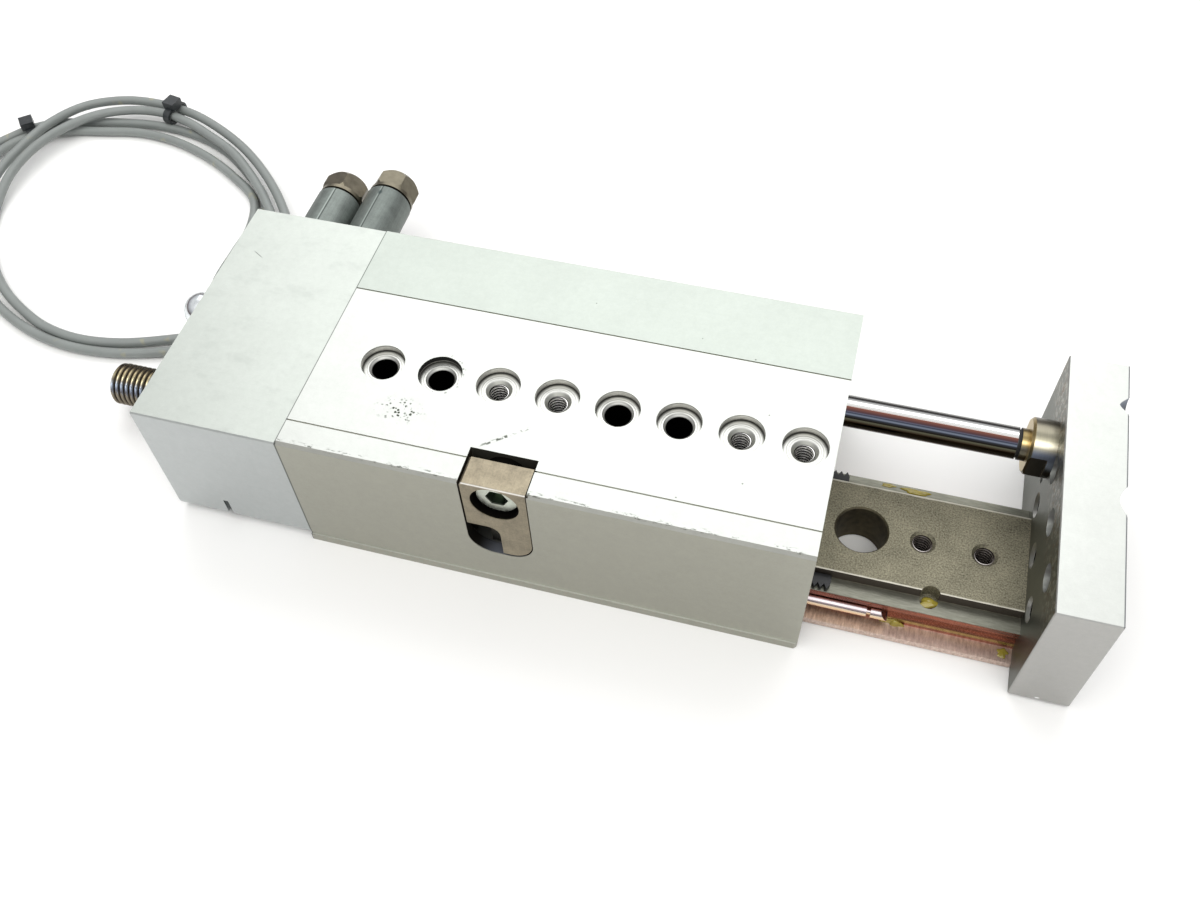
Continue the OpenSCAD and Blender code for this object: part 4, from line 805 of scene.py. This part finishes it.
def rod_finish():
    """The piston rod: hard chrome polished to a mirror, with bands of painted reflection, hair-fine marks
    round it, painted near-black shade in a groove and a turned, golden-brown end with its collar, in bands of
    painted reflection and shade too."""
    f = Finish("chromed_rod", (0.86, 0.86, 0.88), 0.07, 1.0)
    x = f.xyz()[0]
    marks = f.noise((0.25, 8, 8), 2)
    end = x.rise(ROD_HIGH[0] - 8.6, ROD_HIGH[0] - 8.3)
    # Painted shade: the groove is coloured near black.
    groove = x.within(ROD_HIGH[0] - 8.6, ROD_HIGH[0] - 7.7, 0.05)
    # Painted reflection: bands set by the way the surface faces, with a highlight and a red reflection.
    chrome = f.mirror([
        (0.0, (0.05, 0.05, 0.045)), (0.04, (0.12, 0.12, 0.115)), (0.16, (0.22, 0.22, 0.22)),
        (0.19, (0.95, 0.95, 0.93)), (0.31, (0.95, 0.95, 0.93)), (0.35, (0.09, 0.035, 0.025)),
        (0.47, (0.03, 0.017, 0.02)), (0.54, (0.05, 0.06, 0.09)), (0.59, (0.28, 0.32, 0.4)),
        (0.63, (0.06, 0.07, 0.09)), (0.72, (0.09, 0.09, 0.06)), (0.80, (0.03, 0.02, 0.012)),
        (1.0, (0.012, 0.009, 0.006)),
    ])
    # Painted reflection and shade on the turned end and its collar.
    turned = f.mirror([
        (0.0, (0.14, 0.13, 0.10)), (0.15, (0.28, 0.26, 0.2)), (0.36, (0.38, 0.36, 0.27)),
        (0.44, (0.95, 0.9, 0.72)), (0.52, (0.36, 0.34, 0.27)), (0.62, (0.27, 0.31, 0.4)),
        (0.80, (0.22, 0.25, 0.3)), (0.90, (0.07, 0.06, 0.05)), (1.0, (0.03, 0.03, 0.03)),
    ])
    neck = x.rise(ROD_HIGH[0] - 5.2, ROD_HIGH[0] - 5.5)
    brushed = f.noise((0.3, 5, 5), 3, 0.7)
    turned = f.blend(neck, turned, (1.0, 0.82, 0.5), "MULTIPLY")
    turned = f.blend(brushed * 0.5, turned, (0.4, 0.4, 0.4), "MULTIPLY")
    colour = f.blend(end, chrome, turned)
    colour = f.blend(groove, colour, (0.01, 0.01, 0.01))
    f.set(**{"Base Color": colour, "Roughness": 0.05 + 0.05 * marks + 0.25 * end + 0.3 * groove,
             "Metallic": 1.0 - 0.9 * groove})
    return f


def thread_finish(name, crest, root, rough=0.25, bands=None):
    """Cut thread: bright crests and roots darkened by grime and painted shade, told apart by the piece's own
    `root` attribute, with bands of painted reflection round it where they are given."""
    f = Finish(name, crest, rough, 1.0)
    # Painted reflection where bands are given; below, the roots darken by grime and painted shade.
    crest = f.mirror(bands) if bands else crest
    deep = f.node("ShaderNodeAttribute", {"attribute_name": "root"}, output="Fac")
    cloud = f.noise(1.3, 2)
    colour = f.blend((deep * 2.0 - 0.45 + 0.2 * (cloud - 0.5)).clipped(), crest, root)
    f.set(**{"Base Color": colour, "Roughness": rough + 0.25 * deep})
    return f


def zinc_finish(settings):
    """The fitting bodies: bluish zinc die casting with fine pores, streaks along its length, a mould line
    along the top painted as a dark line of shade with a painted highlight beside it, and a dark dent on each."""
    f = Finish("zinc_fitting", settings.zinc, 0.45, 0.75)
    fx, _, fz = f.facing()
    grain = f.noise(0.45, 3, 0.7)
    cloud = f.noise(3.0, 4, 0.62)
    streak = f.noise((0.5, 14, 0.5), 3, 0.65)
    colour = f.blend((0.75 * cloud + 0.4 * grain + 0.5 * streak - 0.35).clipped(),
                     shade(settings.zinc, 0.45), shade(settings.zinc, 1.6))
    front = f.xyz()[0].rise(FITTINGS_APART_X - 0.1, FITTINGS_APART_X)
    lean = fx - (front * -0.115 + 0.05)
    seam = fz.rise(0.5, 0.8)
    # The mould line: a dark line of painted shade with a painted highlight beside it.
    colour = f.blend(lean.within(0.0, 0.035, 0.012) * seam * 0.8, colour, shade(settings.zinc, 0.25))
    colour = f.blend(lean.within(-0.065, -0.03, 0.012) * seam * 0.7, colour, shade(settings.zinc, 2.0))
    dents = (f.near((-15.9, 64.6, FITTING_TOP), 0.9, (1, 0.7, 1)) + f.near((-35.0, 59.5, 25.2), 0.7)).min(1.0)
    colour = f.blend(dents * 0.8, colour, (0.03, 0.05, 0.05))
    colour = f.blend(front * 0.17, colour, (0.05, 0.06, 0.055))
    f.set(**{"Base Color": colour, "Roughness": 0.40 + 0.18 * cloud})
    f.bump(grain * 0.6 + streak * 0.4, 0.03, settings.grain_relief)
    return f


def cap_finish(settings):
    """The hexagonal caps: nickel-plated brass gone brownish, with small stains."""
    f = Finish("nickel_cap", settings.cap_colour, 0.32, 1.0)
    cloud = f.noise(2.6, 4, 0.6)
    fine = f.noise(0.4, 2)
    colour = f.blend(cloud * 1.3 - 0.15, shade(settings.cap_colour, 0.6), shade(settings.cap_colour, 1.35))
    front = f.xyz()[0].rise(FITTINGS_APART_X - 0.1, FITTINGS_APART_X + 0.1)
    colour = f.blend(front * 0.22, colour, (0.05, 0.05, 0.035))
    f.set(**{"Base Color": colour, "Roughness": 0.26 + 0.2 * cloud})
    f.bump(fine, 0.012, settings.grain_relief)
    return f


def dull_metal(name, colour, rough, metallic=1.0, spot=(0.05, 0.05, 0.05), amount=0.3):
    """Plain turned or blackened metal with clouds of tone and a few darker spots."""
    f = Finish(name, colour, rough, metallic)
    cloud = f.noise(1.8, 3, 0.6)
    fine = f.noise(0.3, 2)
    tone = f.blend(cloud, shade(colour, 0.75), tuple(min(1.0, c) for c in shade(colour, 1.2)))
    tone = f.blend(cloud.rise(0.62, 0.72) * amount, tone, spot)
    f.set(**{"Base Color": tone, "Roughness": rough + 0.15 * (cloud - 0.5)})
    f.bump(fine, 0.006, 0.5)
    return f


def plastic(name, colour, rough=0.45, relief=0.01, **constants):
    """Moulded plastic or rubber: an even colour with a fine matt grain and slight dust."""
    f = Finish(name, colour, rough, 0.0, **constants)
    grain = f.noise(0.25, 2)
    dust = f.noise(2.2, 3).rise(0.55, 0.8)
    tone = f.blend(dust * 0.18, colour, tuple(min(1.0, c + 0.12) for c in colour))
    f.set(**{"Base Color": tone, "Roughness": rough + 0.12 * (grain - 0.5) + 0.1 * dust})
    f.bump(grain, relief, 0.5)
    return f


def cable_finish(settings):
    """The cable jacket: satin grey plastic, a little darker in blotches, with faint yellow stains."""
    f = Finish("cable_grey", settings.cable_colour, 0.42, 0.0, Coat_Roughness=0.35)
    blotch = f.noise(9, 3, 0.6)
    colour = f.blend(blotch, shade(settings.cable_colour, 0.8), shade(settings.cable_colour, 1.12))
    stain = f.noise(5.5, 2).rise(0.64, 0.74)
    colour = f.blend(stain * 0.35, colour, (0.42, 0.38, 0.2))
    f.set(**{"Base Color": colour, "Roughness": 0.36 + 0.15 * blotch})
    f.bump(f.noise(0.6, 2), 0.01, 0.5)
    return f


def grease_finish(settings):
    """Old yellow-olive grease: glossy, thin and half clear, darker in clouds."""
    f = Finish("grease", settings.grease_colour, 0.16, 0.0, Coat_Weight=0.6, Coat_Roughness=0.1, IOR=1.47)
    cloud = f.noise(1.2, 3)
    colour = f.blend(cloud, shade(settings.grease_colour, 0.5), settings.grease_colour)
    f.set(**{"Base Color": colour, "Alpha": 0.78 + 0.2 * cloud})
    f.bump(f.noise(0.7, 2), 0.05, 0.6)
    return f


# ---------------------------------------------------------------- settings


def colour(name, description, value):
    return FloatVectorProperty(name=name, description=description, subtype="COLOR", size=3,
                               min=0.0, max=1.0, default=value)


class SlideTableLooks(bpy.types.PropertyGroup):
    """Colours and relief of the finishes."""

    body_top: colour("Body top", "Anodised aluminium on the flat tops", (0.56, 0.575, 0.555))
    # Painted shade: the body's upright faces take this darker copy of the body's colour.
    body_side_shaded: colour("Body side", "Anodised aluminium on the body's upright faces", (0.365, 0.36, 0.315))
    rear_top: colour("Rear block top", "Anodised aluminium on top of the rear block", (0.515, 0.545, 0.515))
    # Painted shade: the rear block's upright faces take this darker, bluer copy of its colour.
    rear_side_shaded: colour("Rear block side", "Upright faces of the rear block", (0.47, 0.49, 0.495))
    # Painted shade: the plate's upright faces take this darker copy of its colour.
    plate_side_shaded: colour("Plate side", "Upright faces of the front plate", (0.43, 0.425, 0.415))
    plate_inner: colour("Plate inner face", "Milled inner face of the front plate", (0.11, 0.115, 0.10))
    slide_top: colour("Slide top", "Blasted steel on top of the slide", (0.235, 0.22, 0.16))
    stop_colour: colour("Stop block", "Sintered steel of the stop block", (0.31, 0.27, 0.195))
    zinc: colour("Fitting zinc", "Die-cast zinc of the fitting bodies", (0.19, 0.215, 0.2))
    cap_colour: colour("Fitting caps", "Nickel on the hexagonal caps", (0.2, 0.18, 0.135))
    cable_colour: colour("Cable jacket", "Satin grey plastic of the cables", (0.235, 0.255, 0.245))
    grease_colour: colour("Grease", "Old grease on the slide", (0.45, 0.36, 0.05))
    grain_relief: FloatProperty(name="Grain relief", description="Strength of the fine surface relief",
                                default=0.6, min=0.0, max=2.0, subtype="FACTOR")


class SlideTableCables(bpy.types.PropertyGroup):
    """Sizes of the sensor cables."""

    diameter: FloatProperty(name="Cable diameter", description="Outer diameter of each sensor cable",
                            default=3 * MM, min=2 * MM, max=4 * MM, unit="LENGTH", precision=4)
    length: FloatProperty(name="Cable length", description="Real length of each sensor cable",
                          default=2.0, min=1.9, max=2.05, unit="LENGTH")
    sides: IntProperty(name="Sides", description="Faces round a cable", default=16, min=8, max=32)


class SlideTableThreads(bpy.types.PropertyGroup):
    """Sizes of the threads that are cut into the plain solids."""

    shock_pitch: FloatProperty(name="Shock absorber pitch", description="Thread pitch of the shock absorber",
                               default=1.5 * MM, min=1.0 * MM, max=1.75 * MM, unit="LENGTH", precision=5)
    shock_depth: FloatProperty(name="Shock absorber thread depth", description="Depth of that thread",
                               default=0.62 * MM, min=0.3 * MM, max=0.8 * MM, unit="LENGTH", precision=5)
    tapped_pitch: FloatProperty(name="Tapped pitch", description="Thread pitch in the tapped holes",
                                default=1.0 * MM, min=0.5 * MM, max=1.25 * MM, unit="LENGTH", precision=5)
    tapped_depth: FloatProperty(name="Tapped thread depth", description="Depth shown inside each tapped hole",
                                default=0.34 * MM, min=0.1 * MM, max=0.5 * MM, unit="LENGTH", precision=5)


class SlideTableStage(bpy.types.PropertyGroup):
    """Studio round the object."""

    floor_colour: colour("Floor", "Plain pale floor", (0.93, 0.93, 0.92))
    surround: FloatProperty(name="Surround", description="Strength of the pale surround", default=0.85,
                            min=0.0, max=5.0)
    softbox: FloatProperty(name="Softbox", description="Power of the softbox behind the object, in watts",
                           default=4.0, min=0.0, max=200.0)
    overhead: FloatProperty(name="Overhead", description="Power of the overhead softbox, in watts",
                            default=7.0, min=0.0, max=200.0)


# ---------------------------------------------------------------- operators


def settings():
    scene = bpy.context.scene
    return scene.slide_looks, scene.slide_cables, scene.slide_threads, scene.slide_stage


class SLIDETABLE_OT_stage(bpy.types.Operator):
    """Makes the floor, the soft studio light and the camera"""

    bl_idname = "slidetable.stage"
    bl_label = "Stage"

    def execute(self, context):
        stage = context.scene.slide_stage
        context.scene.view_settings.view_transform = "Standard"
        self.camera(context.scene)
        self.floor(context.scene, tuple(stage.floor_colour))
        for softbox in SOFTBOXES:
            self.softbox(context.scene, *softbox)
        self.surround(context.scene, stage.surround)
        return {"FINISHED"}

    def camera(self, scene):
        """The camera, turned and placed by the columns of its matrix."""
        camera = bpy.data.objects.new("camera", bpy.data.cameras.new("camera"))
        scene.collection.objects.link(camera)
        camera.data.sensor_width, camera.data.sensor_fit = 36.0, "HORIZONTAL"
        camera.data.lens = LENS
        camera.data.clip_start, camera.data.clip_end = 0.01, 20.0
        right, up, back, place = CAMERA
        camera.matrix_world = Matrix([*zip(right, up, back, place), (0, 0, 0, 1)])
        scene.camera = camera

    def floor(self, scene, colour):
        """A flat square grid just under the object, in a faintly cloudy pale tone."""
        finish = Finish("pale_floor", colour, 0.85, 0.0)
        finish.set(**{"Base Color": finish.blend(finish.noise(60, 2), shade(colour, 0.985), colour)})
        side = np.linspace(-FLOOR_HALF, FLOOR_HALF, FLOOR_SQUARES + 1)
        x, y = np.meshgrid(side, side, indexing="ij")
        points = np.stack([x, y, np.full_like(x, -0.00002)], -1).reshape(-1, 3)
        row = FLOOR_SQUARES + 1
        first = np.arange(FLOOR_SQUARES)[:, None] * row + np.arange(FLOOR_SQUARES)[None, :]
        faces = np.stack([first, first + row, first + row + 1, first + 1], -1).reshape(-1, 4)
        mesh = bpy.data.meshes.new("floor")
        mesh.from_pydata(points.tolist(), [], faces.tolist())
        mesh.materials.append(finish.material)
        ground = bpy.data.objects.new("floor", mesh)
        scene.collection.objects.link(ground)

    def softbox(self, scene, name, place, aim, size, power, tint):
        """One rectangular light, turned to its aim; its power is the setting of that name."""
        lamp = bpy.data.lights.new(name, "AREA")
        lamp.shape, lamp.size, lamp.size_y = "RECTANGLE", *size
        lamp.energy, lamp.color = getattr(scene.slide_stage, power), tint
        made = bpy.data.objects.new(name, lamp)
        made.location = place
        made.rotation_mode = "QUATERNION"
        made.rotation_quaternion = (Vector(aim) - Vector(place)).to_track_quat("-Z", "Y")
        scene.collection.objects.link(made)

    def surround(self, scene, strength):
        """The room: dark below and white above, which lights the metal, and a plain white wall where
        the camera looks past the floor."""
        world = bpy.data.worlds.new("studio")
        world.use_nodes = True
        scene.world = world
        room = Sheet(world.node_tree)
        up = room.parts(room.node("ShaderNodeTexCoord", output="Generated"))[2]
        tone = room.node("ShaderNodeValToRGB", {"stops": [
            (0.0, (0.10, 0.10, 0.11)), (0.5, (0.16, 0.15, 0.16)), (0.56, (0.22, 0.17, 0.16)),
            (0.66, (0.55, 0.55, 0.58)), (0.8, (0.95, 0.95, 0.96)), (1.0, (1.0, 1.0, 1.0)),
        ]}, {0: 0.5 + 0.5 * up})
        seen = room.node("ShaderNodeLightPath", output="Is Camera Ray")
        background = room.tree.nodes["Background"]
        room.feed(background.inputs["Color"], room.blend(seen, tone, (1.0, 1.0, 1.0)))
        room.feed(background.inputs["Strength"], strength)


class SLIDETABLE_OT_cables(bpy.types.Operator):
    """Makes both sensor cables with their spare coils, and finishes the ties"""

    bl_idname = "slidetable.cables"
    bl_label = "Sensor cables"

    def execute(self, context):
        looks, cables, _, _ = settings()
        jacket = cable_finish(looks)
        radius = cables.diameter / MM / 2
        for letter, route in (("a", CABLE_A_ROUTE), ("b", CABLE_B_ROUTE)):
            centre, start = COILS[letter]
            free = smooth_line(route, 1.5)
            coil = coil_line(centre, start, 14.8, (21.0, 17.8, 14.6, 11.4), (1.6, 4.7, 7.8, 10.9))
            line = even_steps(np.vstack([free, coil[1:]]), 2.2, cables.length / MM)
            grid = tube_grid(line, radius, cables.sides)
            piece = add_piece(f"sensor_cable_{letter}", grid, grid_faces(*grid.shape[:2]), jacket,
                              "housing", (f"cable_{letter}", f"coil_{letter}"), poles=True)
        tie = plastic("tie_black", (0.022, 0.026, 0.028), 0.32, 0.02)
        for node in ("cable_tie_1", "cable_tie_2"):
            wear(node, tie)
        wear("cable_bushings", plastic("bushing_black", (0.03, 0.03, 0.032), 0.5))
        return {"FINISHED"}


class SLIDETABLE_OT_body(bpy.types.Operator):
    """Finishes the cylinder body, the rear block with its screws and plug, and the sensors"""

    bl_idname = "slidetable.body"
    bl_label = "Body and rear block"

    def execute(self, context):
        looks = settings()[0]
        wear("housing", body_finish(looks))
        wear("rear_block", rear_finish(looks))
        black = dull_metal("dark_screws", (0.07, 0.07, 0.075), 0.4, 0.85, spot=(0.18, 0.15, 0.12))
        for node in ("rear_screws", "plate_screws", "rod_screw", "rail_screws", "stop_plate_screws"):
            wear(node, black)
        wear("rear_plug", dull_metal("bright_plug", (0.8, 0.84, 0.88), 0.18))
        sensor = plastic("sensor_black", (0.03, 0.03, 0.033), 0.4)
        for node in ("sensor_a", "sensor_b"):
            wear(node, sensor)
        return {"FINISHED"}


class SLIDETABLE_OT_guide(bpy.types.Operator):
    """Finishes the slide, its rails, roller cages and combs"""

    bl_idname = "slidetable.guide"
    bl_label = "Slide and guide"

    def execute(self, context):
        looks = settings()[0]
        wear("slide_rail", slide_finish(looks))
        ground = ground_finish("ground_steel", (0.56, 0.56, 0.55))
        for node in ("rail_left", "rail_right"):
            wear(node, ground)
        wear("stop_plate", ground_finish("dark_steel", (0.09, 0.085, 0.07), 0.4))
        cage = cage_finish()
        roller = ground_finish("roller_steel", (0.72, 0.72, 0.73), 0.14, (3, 0.4, 0.4), 0.8)
        comb = plastic("comb_black", (0.012, 0.013, 0.015), 0.4, 0.02)
        for side in ("left", "right"):
            wear(f"cage_{side}", cage)
            wear(f"rollers_{side}", roller)
            wear(f"comb_{side}", comb)
        return {"FINISHED"}


class SLIDETABLE_OT_cylinder(bpy.types.Operator):
    """Finishes the front plate, the rod, the piston and what seals and guides them"""

    bl_idname = "slidetable.cylinder"
    bl_label = "Front plate and cylinder"

    def execute(self, context):
        looks = settings()[0]
        wear("front_plate", plate_finish(looks))
        wear("piston_rod", rod_finish())
        wear("piston", ground_finish("piston_alloy", (0.75, 0.76, 0.76), 0.3, (0.3, 8, 8)))
        rubber = plastic("seal_rubber", (0.02, 0.02, 0.02), 0.55)
        for node in ("piston_seals", "rod_seal", "fitting_seals"):
            wear(node, rubber)
        wear("piston_magnet", dull_metal("magnet", (0.16, 0.155, 0.15), 0.55, 0.6))
        wear("bearing_cap", ground_finish("bearing_bronze", (0.62, 0.45, 0.22), 0.32, (0.3, 8, 8)))
        wear("cap_circlip", dull_metal("circlip_steel", (0.12, 0.12, 0.125), 0.35))
        return {"FINISHED"}


class SLIDETABLE_OT_stop(bpy.types.Operator):
    """Finishes the stop block and its clamp screw, and makes the threaded shock absorber"""

    bl_idname = "slidetable.stop"
    bl_label = "Stop and shock absorber"

    def execute(self, context):
        looks, _, threads, _ = settings()
        wear("stop_block", stop_finish(looks))
        wear("stop_block_screw", screw_finish())
        wear("shock_plunger", ground_finish("plunger_steel", (0.8, 0.8, 0.82), 0.14, (0.3, 5, 5), 0.85))
        # The shock absorber's thread carries bands of painted reflection and shade, and near-black roots of
        # grime and painted shade.
        metal = thread_finish("nickel_thread", (0.66, 0.63, 0.57), (0.035, 0.028, 0.02), 0.22, [
            (0.0, (0.03, 0.025, 0.015)), (0.14, (0.10, 0.08, 0.05)), (0.26, (0.5, 0.42, 0.26)),
            (0.34, (0.75, 0.66, 0.42)), (0.42, (0.3, 0.27, 0.22)), (0.52, (0.75, 0.85, 1.0)),
            (0.60, (0.45, 0.5, 0.6)), (0.70, (0.25, 0.22, 0.17)), (1.0, (0.16, 0.13, 0.09)),
        ])
        self.shock_absorber(metal, threads)
        return {"FINISHED"}

    def shock_absorber(self, metal, threads):
        """The whole body of the shock absorber, turned: along X the radius follows a one-start thread
        between a chamfer at each end, then goes in to a hexagon socket behind and a plunger bore in
        front."""
        sides, pitch, depth = 48, threads.shock_pitch / MM, threads.shock_depth / MM
        low, high = SHOCK_LOW[0], SHOCK_HIGH[0]
        outer = (SHOCK_HIGH[2] - SHOCK_LOW[2]) / 2
        x = np.arange(low + 0.45, high - 0.35, pitch / 8)
        wave = thread_wave(x, sides, pitch, 1.15)
        ends = np.minimum(outer, np.minimum(outer - 1.0 + (x - low), outer - 0.7 + (high - x)))[:, None]
        radius = np.minimum(outer - depth * wave, ends)
        hexagonal = hexagon(5.0, sides)[None, :]
        ring = np.ones((1, sides))
        plunger_low, plunger_high = box_mm("shock_plunger")
        plunger = (plunger_high[2] - plunger_low[2]) / 2 + 0.05
        behind = [(low + 4.0, hexagonal * 0.02), (low + 4.0, hexagonal * 0.98),
                  (low + 3.9, hexagonal), (low + 0.15, hexagonal), (low, hexagonal + 0.15),
                  (low, ring * (outer - 1.25)), (low + 0.1, ring * (outer - 1.1))]
        front = [(high, ring * (outer - 0.75)), (high, ring * (plunger + 0.2)),
                 (high - 0.2, ring * plunger), (high - 20.0, ring * plunger),
                 (high - 20.05, ring * 0.02)]
        radii = np.vstack([*[r for _, r in behind], radius, *[r for _, r in front]])
        places = np.r_[[p for p, _ in behind], x, [p for p, _ in front]]
        grid = turned_grid(places, radii, SHOCK_Y, SHOCK_Z, sides)
        piece = add_piece("shock_absorber_body", grid, grid_faces(*grid.shape[:2]), metal, "housing",
                          ("shock_absorber",), sharp=50, poles=True)
        root = np.vstack([np.zeros((len(behind), sides)), (outer - radius) / depth,
                          np.zeros((len(front), sides))])
        paint_root(piece, np.r_[np.clip(root, 0, 1).ravel(), 0, 0])


def paint_root(piece, depth):
    """Stores how deep in the thread each corner lies, from 0 on the crest to 1 in the root."""
    layer = piece.data.attributes.new("root", "FLOAT", "POINT")
    layer.data.foreach_set("value", depth.astype(np.float32))


class SLIDETABLE_OT_fittings(bpy.types.Operator):
    """Finishes the two air fittings and their caps"""

    bl_idname = "slidetable.fittings"
    bl_label = "Air fittings"

    def execute(self, context):
        looks = settings()[0]
        zinc, cap = zinc_finish(looks), cap_finish(looks)
        for end in ("front", "rear"):
            wear(f"fitting_{end}", zinc)
            wear(f"fitting_cap_{end}", cap)
        return {"FINISHED"}


class SLIDETABLE_OT_threads(bpy.types.Operator):
    """Cuts the threads in the tapped holes of the body, the slide and the front plate"""

    bl_idname = "slidetable.threads"
    bl_label = "Tapped threads"

    def execute(self, context):
        _, _, threads, _ = settings()
        # Near-black roots: grime and painted shade.
        bright = thread_finish("thread_alloy", (0.9, 0.89, 0.87), (0.006, 0.005, 0.005), 0.2)
        dark = thread_finish("thread_steel", (0.45, 0.42, 0.4), (0.03, 0.022, 0.02), 0.22)
        pitch, depth = threads.tapped_pitch / MM, threads.tapped_depth / MM
        for index, (body, slot, place, axis, low, high) in enumerate(TAPPED_HOLES):
            metal = dark if slot == "blasted_steel" else bright
            self.liner(f"thread_{index + 1:02d}", place, axis, low, high, pitch, depth, metal, body, slot)
        return {"FINISHED"}

    def liner(self, name, place, axis, low, high, pitch, depth, metal, body, slot):
        """A thin threaded sleeve against the wall of a hole: its outer side is a plain cylinder and its
        inner side follows a one-start thread, and the two close at both ends."""
        sides = 36
        along = np.arange(low, high, pitch / 7)
        wave = thread_wave(along, sides, pitch, 1.0)
        outer = TAP_CORE - 0.006
        inner = outer - 0.02 - depth * (1 - wave)
        places = np.r_[along, high, high, low]
        radii = np.vstack([inner, inner[-1:], np.full((2, sides), outer)])
        grid = turned_grid(places, radii, 0, 0, sides)
        if axis == "z":
            grid = np.stack([grid[..., 1] + place[0], grid[..., 2] + place[1], grid[..., 0]], -1)
        else:
            grid = np.stack([grid[..., 0], grid[..., 1] + place[0], grid[..., 2] + place[1]], -1)
        piece = add_piece(name, grid, grid_faces(*grid.shape[:2], ring=True), metal, body, sharp=60)
        root = np.vstack([wave, wave[-1:], np.ones((2, sides))])
        paint_root(piece, root.ravel())


class SLIDETABLE_OT_grease(bpy.types.Operator):
    """Lays drops of old grease on the slide"""

    bl_idname = "slidetable.grease"
    bl_label = "Grease"

    def execute(self, context):
        grease = grease_finish(settings()[0])
        for index, (centre, size, rise) in enumerate(GREASE):
            grid = blob_grid(centre, size, rise, 11 + index)
            add_piece(f"grease_{index + 1}", grid, grid_faces(*grid.shape[:2]), grease, "slide",
                      sharp=80, poles=True)
        return {"FINISHED"}


class SLIDETABLE_PT_panel(bpy.types.Panel):
    """Lists the slide table's pieces and their settings"""

    bl_idname = "SLIDETABLE_PT_panel"
    bl_label = "Slide Table"
    bl_space_type = "VIEW_3D"
    bl_region_type = "UI"
    bl_category = "Slide Table"

    def draw(self, context):
        for operator in OPERATORS:
            self.layout.operator(operator.bl_idname)
        for name in GROUPS:
            group = getattr(context.scene, name)
            box = self.layout.box()
            for prop in group.bl_rna.properties:
                if prop.identifier not in {"rna_type", "name"}:
                    box.prop(group, prop.identifier)


GROUPS = {"slide_looks": SlideTableLooks, "slide_cables": SlideTableCables,
          "slide_threads": SlideTableThreads, "slide_stage": SlideTableStage}
OPERATORS = (SLIDETABLE_OT_stage, SLIDETABLE_OT_cables, SLIDETABLE_OT_body, SLIDETABLE_OT_guide,
             SLIDETABLE_OT_cylinder, SLIDETABLE_OT_stop, SLIDETABLE_OT_fittings, SLIDETABLE_OT_threads,
             SLIDETABLE_OT_grease)


def register():
    for cls in (*GROUPS.values(), *OPERATORS, SLIDETABLE_PT_panel):
        bpy.utils.register_class(cls)
    for name, cls in GROUPS.items():
        setattr(bpy.types.Scene, name, PointerProperty(type=cls))


def unregister():
    for name in GROUPS:
        delattr(bpy.types.Scene, name)
    for cls in reversed((*GROUPS.values(), *OPERATORS, SLIDETABLE_PT_panel)):
        bpy.utils.unregister_class(cls)


def main():
    register()
    for operator in OPERATORS:
        getattr(bpy.ops.slidetable, operator.bl_idname.split(".")[1])()


if __name__ == "__main__":
    main()
